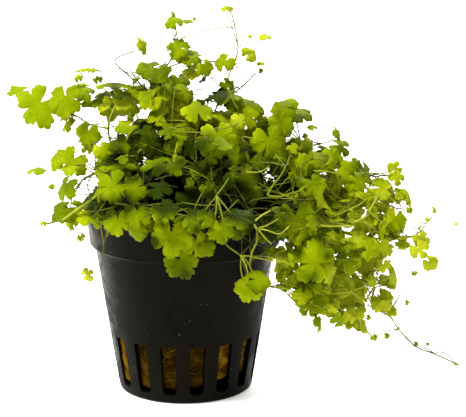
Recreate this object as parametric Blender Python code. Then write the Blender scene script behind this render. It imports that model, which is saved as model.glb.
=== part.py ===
# Hydrocotyle plant growing out of a plug of mineral wool in a slotted net pot.
# Lengths in the tables are millimetres, and meshes are in metres with +Z up.
# The origin is the middle of the pot's base, and the front of the plant faces -Y.
import math
import random

import bmesh
import bpy
import numpy as np

MM = 0.001

# Pot
RIM_RADIUS = 27.5
RIM_HEIGHT = 52.4
COLLAR_FOOT_RADIUS = 26.0
COLLAR_FOOT_HEIGHT = 42.5
LEDGE_HEIGHT = 40.6
BODY_TOP_RADIUS = 24.6
BASE_RADIUS = 17.9
BASE_EDGE = 1.2
WALL = 1.2
FLOOR = 1.4
SLOT_COUNT = 16
SLOT_SPAN = math.radians(11.4)
SLOT_TURN = math.radians(10.4)
SLOT_FOOT = 2.6
SLOT_TOP = 16.5

# Plug of mineral wool
PLUG_FOOT = 4.9
PLUG_SLANT = 0.065
PLUG_TOP = 39.0
PLUG_SIDES = 20
TOUCH = 0.3

# Stems and blades
RUNNER_RADIUS = 0.65
BRANCH_RADIUS = 0.45
PETIOLE_RADIUS = 0.42
BLADE_THICK = 0.5
BLADE_CUP = -0.08
ATTACH_SHARE = 0.2
OWN_NODE_WIDTH = 8.4
LEAST_WIDTH = 6.4
CLEAR = 0.95
LATTICE = 1.7
RUNNER_STEP = 6.5

# The plant's places were taken from one standpoint, EYE. A place is (across, up, depth): the first two
# are where it shows on the upright plane through the pot's axis, and depth is how far back it sits.
EYE = np.array([13.1, -500.0, 166.9])

# Each runner is a list of limbs, and each limb a list of places along it. The first limb leaves the plug.
RUNNERS = {
    "front_centre": [
        [(1, 38, -12), (4, 49, -20), (9.5, 55, -27), (8, 50, -32), (5, 45.5, -34), (2, 42, -34)],
    ],
    "front_right": [
        [(7, 38, -12), (14, 52, -24), (20, 44.5, -32), (18, 40, -34), (15.5, 36.5, -35), (17, 31, -34)],
        [(15.5, 36.5, -35), (22, 36.5, -34), (27, 35, -32)],
        [(20, 44.5, -32), (25, 46.5, -31)],
    ],
    "front_left": [
        [
            (-6, 38, -12), (-10, 51, -23), (-14, 54, -30), (-19, 48.5, -33), (-21.3, 43, -33.5),
            (-22.7, 37, -33.5),
        ],
    ],
    "left_low": [
        [
            (-11, 38, -9), (-16, 50, -20), (-21.5, 54, -25), (-27, 50, -24), (-32, 47.2, -22),
            (-38, 45.6, -20),
        ],
    ],
    "left_mid": [
        [(-14, 38, -3), (-18, 52, -13), (-22, 56, -17), (-24, 60, -16), (-24.5, 66, -13), (-27, 70, -9)],
        [(-24, 60, -16), (-27.5, 58, -14), (-30.5, 54.5, -12)],
    ],
    "left_high": [
        [
            (-12, 38, 2), (-15, 52, -4), (-18.5, 63, -6), (-20.5, 72, -5), (-18, 79, -4), (-13.5, 84.5, -3),
            (-18.5, 90.3, -2), (-13.2, 93.2, -1),
        ],
        [(-20.5, 72, -5), (-25.5, 73.2, -3), (-30, 76, -1), (-34.5, 77, 0)],
    ],
    "front_middle": [
        [(3, 38, -7), (4, 52, -13), (3.5, 61, -16), (3, 69, -14), (4.5, 75, -10)],
    ],
    "right_low": [
        [
            (12, 38, -8), (22, 55, -18), (30, 52, -23), (35, 45.4, -23), (33.5, 38, -25), (31.5, 31, -25),
            (34.5, 21, -23),
        ],
        [(35, 45.4, -23), (40, 46, -20), (45.5, 45.2, -17)],
        [(34.5, 21, -23), (30.5, 23.2, -26), (26.8, 26.8, -29), (22.8, 27.8, -31)],
    ],
    "right_far": [
        [
            (15, 38, -2), (27, 57, -9), (40, 54, -11), (49, 46, -12), (53.5, 36, -12), (52, 28, -11),
            (51.5, 22, -10), (56, 19.6, -8), (59, 15.5, -6), (63.8, 10.6, -4), (69, 8.5, -2), (75.9, 5.2, 0),
        ],
        [(49, 46, -12), (57, 41.6, -9), (63, 42.5, -5), (68, 48.4, -2)],
        [(52, 28, -11), (48.8, 22, -13), (48.4, 17, -14), (52.4, 12.9, -12)],
    ],
    "right_mid": [
        [(13, 38, 5), (24, 57, 1), (33, 61, 0), (42, 61.5, -1), (50, 59, 0), (56, 59.2, 2)],
        [(42, 61.5, -1), (49, 56, -3), (55, 51, -3), (60, 49.5, -1)],
    ],
    "right_high": [
        [(9, 38, 1), (20, 58, 4), (28, 63, 5), (31.5, 67.4, 4), (36, 67.6, 3), (40.5, 69, 2)],
        [(28, 63, 5), (27, 70, 5), (26.5, 75, 4)],
    ],
    "top_centre": [
        [
            (5, 38, 4), (6, 56, 7), (7, 70, 6), (9, 79, 4), (12.6, 88, 2), (14.4, 94, 0), (12.9, 102.6, 0),
            (11.9, 105, 1),
        ],
        [(9, 79, 4), (15, 83, 4), (19, 87, 3)],
    ],
    "top_left": [
        [
            (-3, 38, 2), (-5, 56, 5), (-7, 70, 4), (-7.5, 80, 3), (-5.5, 87.5, 2), (-1.8, 93.5, 1),
            (-2.2, 100, 0),
        ],
        [(-7.5, 80, 3), (-12, 84.5, 2), (-14.5, 88, 1)],
    ],
    "back_left": [
        [(-8, 38, 8), (-10, 57, 17), (-13, 64, 25), (-15, 60, 32), (-16, 52, 35)],
    ],
    "back_middle": [
        [(-2, 38, 9), (-2, 58, 19), (-1, 69, 28), (1, 65, 35), (2, 55, 38)],
    ],
    "back_right": [
        [(6, 38, 10), (14, 56, 16), (21, 64, 21), (29, 60, 25), (36, 51, 26)],
    ],
    "back_high_left": [
        [(-7, 38, 3), (-9, 58, 9), (-11, 69, 15), (-10, 75, 20)],
    ],
    "back_high_right": [
        [(3, 38, 6), (10, 56, 9), (16, 63, 13), (18, 66, 18)],
    ],
    "back_top": [
        [(-1, 38, 5), (1, 58, 11), (1, 71, 15), (1, 77, 19)],
    ],
}

# Leaves: across, up, depth, width, then degrees: where the tip points in the view, lift of the face
# from facing the front (0) to facing up (90), and turn of the face to the right.
LEAVES = {
    "front_centre": [
        (-4, 41, -38, 11.5, -95, 14, -14), (-0.6, 33.8, -35.5, 9.5, -58, 6, 4),
        (3.4, 39.6, -37, 7.5, -75, 18, 12), (10, 43, -37, 7.2, -80, 14, 10),
        (2.2, 46.8, -38, 7.5, 170, 45, 0), (15.5, 47.4, -35, 8.6, 10, 62, 5),
        (-6.5, 55.4, -27, 8.4, 0, 66, -10), (1, 53, -26, 7.2, -50, 30, 0),
    ],
    "front_right": [
        (20.5, 29.8, -35, 7.5, 20, 50, 10), (17.2, 26.2, -36, 7.6, -110, 12, -10),
        (30.4, 45.6, -29, 12, -82, 12, 10), (34.6, 35.4, -31, 12.2, 150, 14, 10),
    ],
    "front_left": [
        (-20, 55.6, -31, 10.2, 205, 28, -12), (-13.4, 55.2, -34, 7.4, -20, 25, 5),
        (-13.2, 47.6, -36, 8.2, -95, 20, 0), (-18.4, 45.6, -37, 8, -92, 10, -10),
        (-5.2, 49.4, -34, 8, -60, 55, 0),
    ],
    "left_low": [
        (-33, 55.4, -19, 8.4, 235, 30, -55), (-34.2, 49, -24, 7, 205, 40, -25),
    ],
    "left_mid": [
        (-30.8, 62.6, -13, 9, 230, 14, -10), (-18.2, 62.2, -15, 11, 178, 76, 0),
        (-26.2, 70.4, -13, 7, -110, 12, -10), (-12.5, 69.6, -12, 7, 200, 55, 0),
    ],
    "left_high": [
        (-40, 77.6, -2, 13, 222, 16, -15), (-32.4, 79.2, 1, 10.5, 262, 30, -20),
        (-28.4, 83.4, 3, 9, 165, 72, 0), (-25, 88.4, 0, 8, 25, 96, 0), (-18.5, 84.4, -3, 10, 5, 92, 0),
        (-21.8, 80.2, 2, 9.5, 190, 62, 0), (-13.2, 82, -6, 7.5, -30, 60, 0),
        (-45, 82, 2, 6.8, 185, 66, -20),
    ],
    "front_middle": [
        (-7.8, 62.2, -20, 10.5, 190, 72, -5), (9.2, 68.8, -21, 11.5, -82, 32, 5),
        (3.4, 77.4, -12, 8.8, 95, 52, 0), (-1.5, 72.5, -16, 9.5, 175, 66, 0),
        (10.4, 74.6, -14, 8.5, 20, 55, 5), (16.2, 57.6, -22, 9.6, -60, 25, 15),
        (23, 68, -15, 9.5, -75, 18, 10), (-8.5, 67, -10, 7.5, 160, 45, 0), (14, 64, -17, 7.2, -120, 45, 0),
    ],
    "right_low": [
        (39.6, 32.4, -28, 8.4, -80, 14, 50), (34, 28, -25, 7.4, -110, 25, 0),
        (47.6, 41.6, -18, 9.8, 0, 70, 5), (43.6, 28, -16, 7.6, -60, 30, 15),
        (38.6, 40, -15, 8, -70, 35, 10), (40, 46.8, -17, 7, -50, 45, 5), (45, 34.6, -19, 7.5, -75, 25, 10),
    ],
    "right_far": [
        (46.6, 46.6, -9, 8, 200, 35, 0), (53.6, 38.4, -15, 8, -80, 18, 15),
        (57.9, 30.8, -10, 7.6, -68, 20, 66), (54.8, 23.4, -13, 7.4, -45, 20, 15),
        (57.4, 46.6, -9, 7, -100, 25, 20), (50, 34, -12, 7.5, -70, 30, 10),
        (48.6, 28.6, -11, 7, -80, 35, 10),
    ],
    "right_mid": [
        (36.6, 62.8, -7, 8.6, -20, 50, 10), (31.2, 61.8, -10, 7.4, 200, 15, 0),
        (41.8, 57, -8, 8.6, -88, 15, 5), (35.2, 55.6, -14, 7.4, -60, 20, 0),
        (42.6, 66.8, 3, 7, -30, 45, 20), (54.2, 55.4, -4, 7, 5, 40, 15), (53.4, 57.9, 2, 7.2, 5, 84, 0),
        (44.4, 51.6, -5, 7.6, 210, 35, 0), (37.6, 51, -9, 7.6, -100, 30, 0),
    ],
    "right_high": [
        (26, 77.6, -5, 7.4, 170, 45, 0), (31.2, 76.2, -1, 8.6, -28, 72, 20),
        (26.2, 72.4, -8, 8, -80, 20, 5), (22.4, 73.6, 2, 7.2, 120, 40, 0),
    ],
    "top_centre": [
        (10, 81.6, -5, 11, 175, 80, 0), (16.4, 79.4, -2, 8.4, -14, 80, 5), (14.6, 76.4, 6, 8, 60, 35, 10),
    ],
    "top_left": [
        (-9.8, 88.4, -4, 8.4, 190, 60, 0), (-5.6, 82.4, -7, 8, -70, 55, 0),
        (-9.6, 79.6, -10, 7.2, -140, 40, 0), (-2, 94.2, -3, 7, 150, 40, 0), (2.2, 91.6, -2, 7, -40, 60, 20),
    ],
}

# The far side is filled by a rule: leaves for each runner, and the widths that they are drawn from.
FILL = {
    "back_left": 6, "back_middle": 6, "back_right": 6,
    "back_high_left": 4, "back_high_right": 4, "back_top": 4,
}
FILL_WIDTHS = (7.0, 11.0)
FILL_OWN = 3
FILL_SEED = 7

# A blade's outline: degrees from the tip, and reach as a share of the blade's own reach.
LOBES = ((0, 1.0), (35, 0.72), (62, 0.98), (102, 0.86), (144, 0.82), (180, 0.28))
SMALL_LOBES = ((0, 1.0), (66, 1.0), (138, 0.86), (180, 0.30))
REACH_OF_WIDTH = 0.53

POT_BLACK = (0.016, 0.015, 0.014)
PLUG_BROWN = (0.30, 0.19, 0.05)
LEAF_GREEN = (0.26, 0.46, 0.03)
STEM_GREEN = (0.20, 0.33, 0.04)


def material(name, colour, roughness):
    made = bpy.data.materials.new(name)
    made.use_nodes = True
    shader = made.node_tree.nodes["Principled BSDF"]
    shader.inputs["Base Color"].default_value = (*colour, 1.0)
    shader.inputs["Roughness"].default_value = roughness
    shader.inputs["Metallic"].default_value = 0.0
    made.diffuse_color = (*colour, 1.0)
    return made


def add_object(name, points, faces, surface):
    """An object in the scene from points in millimetres."""
    mesh = bpy.data.meshes.new(name)
    mesh.from_pydata([tuple(point * MM) for point in np.asarray(points)], [], faces)
    mesh.materials.append(surface)
    shaped = bpy.data.objects.new(name, mesh)
    bpy.context.scene.collection.objects.link(shaped)
    return shaped


def shade(shaped):
    shaped.data.shade_smooth()
    shaped.data.set_sharp_from_angle(angle=math.radians(35))


def cone_radius(height):
    """Outer radius of the pot's tapered wall."""
    share = (height - BASE_EDGE) / (LEDGE_HEIGHT - BASE_EDGE)
    foot = BASE_RADIUS + 0.5
    return foot + (BODY_TOP_RADIUS - foot) * share


def ring(radius, height, angles):
    return np.stack([radius * np.cos(angles), radius * np.sin(angles), np.full(len(angles), height)], 1)


def build_pot(surface):
    """One turned wall, outside and inside in step, with the slots left out and their cheeks closed."""
    pitch = 2 * math.pi / SLOT_COUNT
    within = (-SLOT_SPAN / 2, SLOT_SPAN / 2, pitch / 2)
    front = -math.pi / 2 + SLOT_TURN
    angles = np.array([front + slot * pitch + step for slot in range(SLOT_COUNT) for step in within])
    outer = [
        (BASE_RADIUS - 0.6, 0.0),
        (BASE_RADIUS + 0.5, BASE_EDGE),
        (cone_radius(SLOT_FOOT), SLOT_FOOT),
        (cone_radius(SLOT_TOP), SLOT_TOP),
        (BODY_TOP_RADIUS, LEDGE_HEIGHT),
        (COLLAR_FOOT_RADIUS, COLLAR_FOOT_HEIGHT - 0.8),
        (RIM_RADIUS, RIM_HEIGHT),
    ]
    inner = [
        (RIM_RADIUS - WALL, RIM_HEIGHT),
        (COLLAR_FOOT_RADIUS - WALL - 0.2, COLLAR_FOOT_HEIGHT),
        (BODY_TOP_RADIUS - WALL, LEDGE_HEIGHT - 0.4),
        (cone_radius(SLOT_TOP) - WALL, SLOT_TOP),
        (cone_radius(SLOT_FOOT) - WALL, SLOT_FOOT),
        (cone_radius(FLOOR) - WALL - 0.3, FLOOR),
    ]
    rows = outer + inner
    outer_foot, outer_top = 2, 3
    inner_top, inner_foot = len(outer) + 3, len(outer) + 4
    count = len(angles)
    points = np.concatenate([ring(radius, height, angles) for radius, height in rows])
    faces = [list(range(count))[::-1]]
    for row in range(len(rows) - 1):
        for column in range(count):
            after = (column + 1) % count
            in_slot = column % 3 == 0 and row in (outer_foot, inner_top)
            if not in_slot:
                low, high = row * count, (row + 1) * count
                faces.append([low + column, low + after, high + after, high + column])
    faces.append([(len(rows) - 1) * count + column for column in range(count)])
    for column in range(0, count, 3):
        after = column + 1
        a, b = outer_foot * count, outer_top * count
        c, d = inner_top * count, inner_foot * count
        faces.append([d + column, c + column, b + column, a + column])
        faces.append([a + after, b + after, c + after, d + after])
        faces.append([c + column, c + after, b + after, b + column])
        faces.append([a + column, a + after, d + after, d + column])
    pot = add_object("pot", points, faces, surface)
    shade(pot)


def build_plug(surface):
    """The plug fills the tapered wall with a small gap all round. Its foot slants up to the right."""
    angles = np.linspace(0, 2 * math.pi, PLUG_SIDES, endpoint=False)
    inside = WALL + TOUCH + 0.3
    rows = [
        (cone_radius(PLUG_FOOT) - inside - 0.8, PLUG_FOOT),
        (cone_radius(PLUG_FOOT + 1) - inside, PLUG_FOOT + 1),
        (cone_radius(PLUG_TOP - 1.5) - inside, PLUG_TOP - 1.5),
        (cone_radius(PLUG_TOP) - inside - 1.6, PLUG_TOP),
    ]
    count = len(angles)
    points = np.concatenate([ring(radius, height, angles) for radius, height in rows])
    points[:2 * count, 2] += PLUG_SLANT * points[:2 * count, 0]
    faces = [list(range(count))[::-1]]
    for row in range(len(rows) - 1):
        low, high = row * count, (row + 1) * count
        faces += [[low + k, low + (k + 1) % count, high + (k + 1) % count, high + k] for k in range(count)]
    faces.append([(len(rows) - 1) * count + k for k in range(count)])
    plug = add_object("growing_medium", points, faces, surface)
    shade(plug)


def unit(vector):
    return vector / np.linalg.norm(vector)


def seen(across, up, depth):
    """The point at a depth on the line of sight that crosses the axis plane at (across, up)."""
    share = (depth - EYE[1]) / -EYE[1]
    return EYE + (np.array([across, 0.0, up]) - EYE) * share


def smooth_path(places, step):
    """Catmull-Rom curve through the places, with points about a step apart."""
    places = np.asarray(places, float)
    ends = np.concatenate([[2 * places[0] - places[1]], places, [2 * places[-1] - places[-2]]])
    path = [places[0]]
    for a, b, c, d in zip(ends, ends[1:], ends[2:], ends[3:]):
        parts = max(1, round(np.linalg.norm(c - b) / step))
        for k in range(1, parts + 1):
            t = k / parts
            bend = (2 * a - 5 * b + 4 * c - d) * t**2 + (3 * b - a - 3 * c + d) * t**3
            path.append(0.5 * (2 * b + (c - a) * t + bend))
    return np.array(path)


def bezier(a, b, c, d, count):
    t = np.linspace(0, 1, count)[:, None]
    return a * (1 - t) ** 3 + 3 * b * t * (1 - t) ** 2 + 3 * c * t**2 * (1 - t) + d * t**3


def tube(path, radius, sides, roll):
    """A closed tube along a path. Its rings start turned by roll, and turn as little as possible after."""
    heading = unit(path[1] - path[0])
    across = unit(np.cross(heading, (0.31, 0.2, 0.93)))
    angles = roll + np.arange(sides) * 2 * math.pi / sides
    points = []
    for k, place in enumerate(path):
        heading = unit(path[min(k + 1, len(path) - 1)] - path[max(k - 1, 0)])
        across = unit(across - heading * (across @ heading))
        other = np.cross(heading, across)
        points += [place + radius * (math.cos(a) * across + math.sin(a) * other) for a in angles]
    faces = [list(range(sides))[::-1]]
    for k in range(len(path) - 1):
        for side in range(sides):
            after = (side + 1) % sides
            low, high = k * sides, (k + 1) * sides
            faces.append([low + side, low + after, high + after, high + side])
    faces.append([(len(path) - 1) * sides + side for side in range(sides)])
    return np.array(points), faces


class Leaf:
    """Where a blade sits: the end of its petiole, its face, its tip and the reach of its lobes."""

    def __init__(self, place, width, tip, normal, own):
        self.width = width
        self.reach = width * REACH_OF_WIDTH
        self.normal = unit(normal)
        self.tip = unit(tip - self.normal * (tip @ self.normal))
        self.side = np.cross(self.normal, self.tip)
        self.at = place - self.tip * self.reach * ATTACH_SHARE
        self.own = own

    def moved(self, shift):
        other = Leaf(self.at, self.width, self.tip, self.normal, self.own)
        other.at = self.at + shift
        return other

    def point(self, degrees, share):
        turn = math.radians(degrees)
        flat = share * self.reach
        cup = BLADE_CUP * self.reach * share**2 if self.own else 0.0
        return self.at + flat * (math.cos(turn) * self.tip + math.sin(turn) * self.side) + cup * self.normal

    def outline(self):
        lobes = LOBES if self.own else SMALL_LOBES
        half = [self.point(degrees, share) for degrees, share in lobes]
        other = [self.point(-degrees, share) for degrees, share in lobes[1:-1]]
        return np.array(half + other[::-1])

    def lattice(self):
        """Points spread over the blade, for finding what comes close to it."""
        places = [self.at]
        rounds = max(2, math.ceil(self.reach / LATTICE))
        for turn in range(1, rounds + 1):
            share = 0.95 * turn / rounds
            count = max(6, round(2 * math.pi * share * self.reach / LATTICE))
            places += [self.point(360 * k / count, share) for k in range(count)]
        return np.array(places)

    def solid(self):
        rim = self.outline()
        count = len(rim)
        lift = self.normal * BLADE_THICK / 2
        sides = [[k, (k + 1) % count, count + (k + 1) % count, count + k] for k in range(count)]
        if not self.own:
            caps = [list(range(count))[::-1], list(range(count, 2 * count))]
            return np.concatenate([rim - lift, rim + lift]), caps + sides
        points = np.concatenate([rim - lift, rim + lift, [self.at - lift, self.at + lift]])
        under = [[(k + 1) % count, k, 2 * count] for k in range(count)]
        over = [[count + k, count + (k + 1) % count, 2 * count + 1] for k in range(count)]
        return points, under + over + sides


class Room:
    """The places already taken, each with its half thickness and its owner."""

    def __init__(self):
        self.places = np.zeros((0, 3))
        self.halves = np.zeros(0)
        self.owners = np.zeros(0, int)

    def take(self, places, half, owner):
        self.places = np.concatenate([self.places, places])
        self.halves = np.concatenate([self.halves, np.full(len(places), half)])
        self.owners = np.concatenate([self.owners, np.full(len(places), owner)])

    def gap(self, places, half, ignored):
        """Least clearance to what is taken by others, to the pot and to the plug."""
        radius = np.hypot(places[:, 0], places[:, 1])
        height = places[:, 2]
        wall = np.interp(height, (0, LEDGE_HEIGHT, COLLAR_FOOT_HEIGHT, RIM_HEIGHT), (19, 24.5, 26.2, 27.5))
        outside = radius - wall
        inside = np.minimum(wall - 2.2 - radius, height - PLUG_TOP)
        above = height - RIM_HEIGHT
        least = np.min(np.maximum(np.maximum(outside, inside), above)) - half
        least = min(least, np.min(height) - half)
        low, high = places.min(0) - 3, places.max(0) + 3
        near = np.all((self.places > low) & (self.places < high), 1) & (self.owners != ignored)
        if near.any():
            apart = np.linalg.norm(places[:, None] - self.places[near][None], axis=2)
            least = min(least, np.min(apart - self.halves[near][None]) - half)
        return least


def bowed(path, bow):
    """The path pushed sideways, most in its middle and not at its ends."""
    along = np.linspace(0, math.pi, len(path))
    return path + np.sin(along)[:, None] * bow


def bows(sizes):
    yield np.zeros(3)
    for size in sizes:
        for degrees in range(0, 360, 45):
            turn = math.radians(degrees)
            yield np.array([math.cos(turn), 0.35 * math.sin(turn), 0.7 * math.sin(turn)]) * size


def nearest(places, wanted):
    return places[np.argmin(np.linalg.norm(places - wanted, axis=1))]


def lay_runners(room):
    """Each limb as a path of its own. A limb that comes close to another plant's is bowed away from it."""
    laid = {}
    for owner, (name, limbs) in enumerate(RUNNERS.items()):
        laid[name] = []
        for limb in limbs:
            places = np.array([seen(*place) for place in limb])
            if laid[name]:
                places[0] = nearest(np.concatenate(laid[name]), places[0])
            else:
                places[0][2] = PLUG_TOP + TOUCH + RUNNER_RADIUS
            path = smooth_path(places, RUNNER_STEP)
            best, best_gap = path, -99.0
            for bow in bows((1.5, 3.0, 4.5)):
                tried = bowed(path, bow)
                found = room.gap(smooth_path(tried, 1.0)[2:], RUNNER_RADIUS, owner)
                if found > best_gap + 0.01:
                    best, best_gap = tried, found
                if found > CLEAR:
                    break
            laid[name].append(best)
            room.take(smooth_path(best, 1.0), RUNNER_RADIUS, owner)
    return laid


def foot_on(limbs, leaf):
    """The point of the runner that the petiole of a leaf grows from."""
    places = np.concatenate([limb[2:-1] for limb in limbs])
    end = leaf.at - leaf.normal * 2.0
    apart = np.linalg.norm(places - end, axis=1)
    apart = np.where(apart < 3.0, 30 - apart, apart)
    over = (places - leaf.at) @ leaf.normal
    apart = apart + np.where(over > -1.0, 12.0, 0.0)
    return places[np.argmin(apart)]


def petiole(foot, leaf, bow, count):
    gap = BLADE_THICK / 2 + TOUCH + 0.1 if leaf.own else -0.05
    end = leaf.at - leaf.normal * gap
    span = np.linalg.norm(end - foot)
    leave = unit(unit(end - foot) + np.array([0, 0, 0.6]))
    path = bezier(foot, foot + leave * span * 0.35, end - leaf.normal * span * 0.35, end, count)
    return bowed(path, bow)


def around(path, leaf):
    """How far a petiole keeps from its own blade before it reaches the underside."""
    apart = np.linalg.norm(path[:-5, None] - leaf.lattice()[None], axis=2)
    return np.min(apart) - PETIOLE_RADIUS


def settle(leaf, owner, limbs, room, push):
    """Moves a leaf along a line until its blade and petiole are clear of everything placed before it."""
    best = None
    blade_ignored = -1 if leaf.own else owner
    for slide in (0, 1.5, -1.5, 3, -3, 4.5, -4.5, 6, -6, 8, -8):
        moved = leaf.moved(push * slide)
        blade_gap = room.gap(moved.lattice(), BLADE_THICK / 2, blade_ignored)
        if best and blade_gap < best[0]:
            continue
        foot = foot_on(limbs, moved)
        for bow in bows((1.5, 3.0)):
            fine = petiole(foot, moved, bow, 16)
            found = min(blade_gap, room.gap(fine, PETIOLE_RADIUS, owner), around(fine, moved))
            if best is None or found > best[0] + 0.01:
                best = (found, moved, foot, bow)
            if found > CLEAR or blade_gap <= best[0] + 0.01:
                break
        if best[0] > CLEAR:
            break
    return best


def fill_leaves(name, limbs, count):
    """Leaves for a runner of the far side, stood out around it by a rule, and facing up and away."""
    draw = random.Random(FILL_SEED + len(name) * count + sum(map(ord, name)))
    path = limbs[0][3:]
    leaves = []
    for k in range(count):
        place = path[round((len(path) - 1) * (k + 0.5) / count)]
        away = unit(np.array([place[0], place[1], 0.0]))
        turn = k * 2.4 + draw.uniform(-0.4, 0.4)
        beside = np.array([-away[1], away[0], 0])
        out = unit(away * (0.9 + 0.4 * math.cos(turn)) + beside * math.sin(turn) * 1.1
                   + np.array([0, 0, 0.5 + 0.5 * math.cos(turn)]))
        centre = place + out * draw.uniform(7.0, 11.0)
        normal = unit(away * draw.uniform(0.4, 1.2) + np.array([0, 0, draw.uniform(0.5, 1.1)]))
        tip = out + np.array([0, 0, -0.7])
        own = k == FILL_OWN
        leaves.append(Leaf(centre, FILL_WIDTHS[1] if own else draw.uniform(*FILL_WIDTHS), tip, normal, own))
    return leaves


def listed_leaves(name):
    leaves = []
    for across, up, depth, width, tip, lift, turn in LEAVES.get(name, ()):
        tip, lift, turn = map(math.radians, (tip, lift, turn))
        normal = np.array([math.sin(turn) * math.cos(lift), -math.cos(turn) * math.cos(lift), math.sin(lift)])
        pointing = np.array([math.cos(tip), -0.3, math.sin(tip)])
        leaves.append(Leaf(seen(across, up, depth), width, pointing, normal, width >= OWN_NODE_WIDTH))
    return leaves


def lay_plant():
    """Every runner's paths, and for each its leaves with the feet and bows of their petioles."""
    room = Room()
    runners = lay_runners(room)
    plant = []
    blade_owner = 1000
    for owner, (name, limbs) in enumerate(runners.items()):
        leaves = []
        listed = listed_leaves(name)
        for leaf in listed + fill_leaves(name, limbs, FILL.get(name, 0)):
            push = unit(leaf.at - EYE) if len(listed) else unit(leaf.at * (1, 1, 0))
            found, leaf, foot, bow = settle(leaf, owner, limbs, room, push)
            blade_owner += 1
            room.take(leaf.lattice(), BLADE_THICK / 2, blade_owner if leaf.own else owner)
            room.take(petiole(foot, leaf, bow, 16)[2:-2], PETIOLE_RADIUS, owner)
            leaves.append((leaf, foot, bow))
        plant.append((name, limbs, leaves))
    return plant


def closed(mesh):
    """Cuts the mesh into triangles, and says whether each edge then has just two."""
    shape = bmesh.new()
    shape.from_mesh(mesh)
    bmesh.ops.triangulate(shape, faces=shape.faces, ngon_method="BEAUTY")
    whole = all(len(edge.link_faces) == 2 for edge in shape.edges)
    shape.to_mesh(mesh)
    shape.free()
    return whole


def union(name, bodies, surface):
    first = add_object(name, *bodies[0], surface)
    operands = bpy.data.collections.new(name + "_bodies")
    bpy.context.scene.collection.children.link(operands)
    for k, body in enumerate(bodies[1:]):
        other = add_object(f"{name}_body_{k}", *body, surface)
        bpy.context.scene.collection.objects.unlink(other)
        operands.objects.link(other)
    joining = first.modifiers.new("union", "BOOLEAN")
    joining.operation = "UNION"
    joining.operand_type = "COLLECTION"
    joining.collection = operands
    evaluated = first.evaluated_get(bpy.context.evaluated_depsgraph_get())
    joined = bpy.data.meshes.new_from_object(evaluated)
    for other in [first, *operands.objects]:
        bpy.data.objects.remove(other)
    bpy.data.collections.remove(operands)
    return joined


def build_runner(name, limbs, leaves, surface):
    """A runner with its petioles and its fused leaves as one solid. Its tubes start turned by a little
    more until no two of their edges meet along a line, which would leave a seam of no thickness."""
    for roll in np.arange(0.0, 2.0, 0.13):
        bodies = []
        for limb in limbs:
            radius = BRANCH_RADIUS if bodies else RUNNER_RADIUS
            bodies.append(tube(limb, radius, 4, roll + 0.4 * len(bodies)))
        for leaf, foot, bow in leaves:
            if leaf.own or leaf.width >= LEAST_WIDTH:
                stalk = petiole(foot, leaf, bow, 3)
                bodies.append(tube(stalk, PETIOLE_RADIUS, 3, roll + 0.7 * len(bodies)))
            if not leaf.own and leaf.width >= LEAST_WIDTH:
                bodies.append(leaf.solid())
        joined = union(name, bodies, surface)
        if closed(joined):
            break
    runner = bpy.data.objects.new(name, joined)
    bpy.context.scene.collection.objects.link(runner)
    shade(runner)


def build_plant(leaf_surface, stem_surface):
    for name, limbs, leaves in lay_plant():
        build_runner(f"{name}_runner", limbs, leaves, stem_surface)
        blades = [leaf for leaf, foot, bow in leaves if leaf.own]
        for number, leaf in enumerate(blades, 1):
            shade(add_object(f"{name}_leaf_{number}", *leaf.solid(), leaf_surface))


def main():
    for old in list(bpy.data.objects):
        bpy.data.objects.remove(old)
    pot_black = material("pot_plastic", POT_BLACK, 0.35)
    plug_brown = material("mineral_wool", PLUG_BROWN, 0.95)
    leaf_green = material("leaf", LEAF_GREEN, 0.45)
    stem_green = material("stem", STEM_GREEN, 0.5)
    build_pot(pot_black)
    build_plug(plug_brown)
    build_plant(leaf_green, stem_green)


main()
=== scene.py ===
import math
import random
import bpy
import numpy as np
from mathutils import Matrix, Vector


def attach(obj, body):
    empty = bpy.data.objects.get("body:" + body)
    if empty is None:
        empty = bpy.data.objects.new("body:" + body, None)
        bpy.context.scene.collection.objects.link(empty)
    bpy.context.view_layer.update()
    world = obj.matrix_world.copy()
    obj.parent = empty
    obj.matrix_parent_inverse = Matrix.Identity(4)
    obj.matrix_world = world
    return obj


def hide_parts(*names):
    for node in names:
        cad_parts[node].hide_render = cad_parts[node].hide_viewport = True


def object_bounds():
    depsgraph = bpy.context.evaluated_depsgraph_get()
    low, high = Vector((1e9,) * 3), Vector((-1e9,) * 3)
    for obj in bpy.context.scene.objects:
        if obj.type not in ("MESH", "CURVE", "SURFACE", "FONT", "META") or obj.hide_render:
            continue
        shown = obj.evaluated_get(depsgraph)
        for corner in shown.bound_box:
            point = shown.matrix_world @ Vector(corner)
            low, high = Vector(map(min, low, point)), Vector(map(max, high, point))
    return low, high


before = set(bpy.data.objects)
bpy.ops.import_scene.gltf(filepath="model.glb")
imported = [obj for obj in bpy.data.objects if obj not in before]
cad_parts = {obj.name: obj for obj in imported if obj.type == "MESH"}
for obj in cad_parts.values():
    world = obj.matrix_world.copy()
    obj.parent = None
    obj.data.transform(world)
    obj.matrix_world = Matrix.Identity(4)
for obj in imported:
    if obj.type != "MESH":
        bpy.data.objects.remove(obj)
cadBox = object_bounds()
cadLow, cadHigh = (np.array(corner) for corner in cadBox)

# The potted hydrocotyle: a slotted net pot, a plug of mineral wool and the plant, dressed around the frame.
# The plant's tables are in millimetres as in the frame's own layout; meshes are in metres.
mm = 0.001

# The standpoint that the plant's places were taken from, and the camera's place.
standpoint = np.array([13.1, -500.0, 166.9])
lookedAt = np.array([13.1, 0.0, 49.9])

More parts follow.
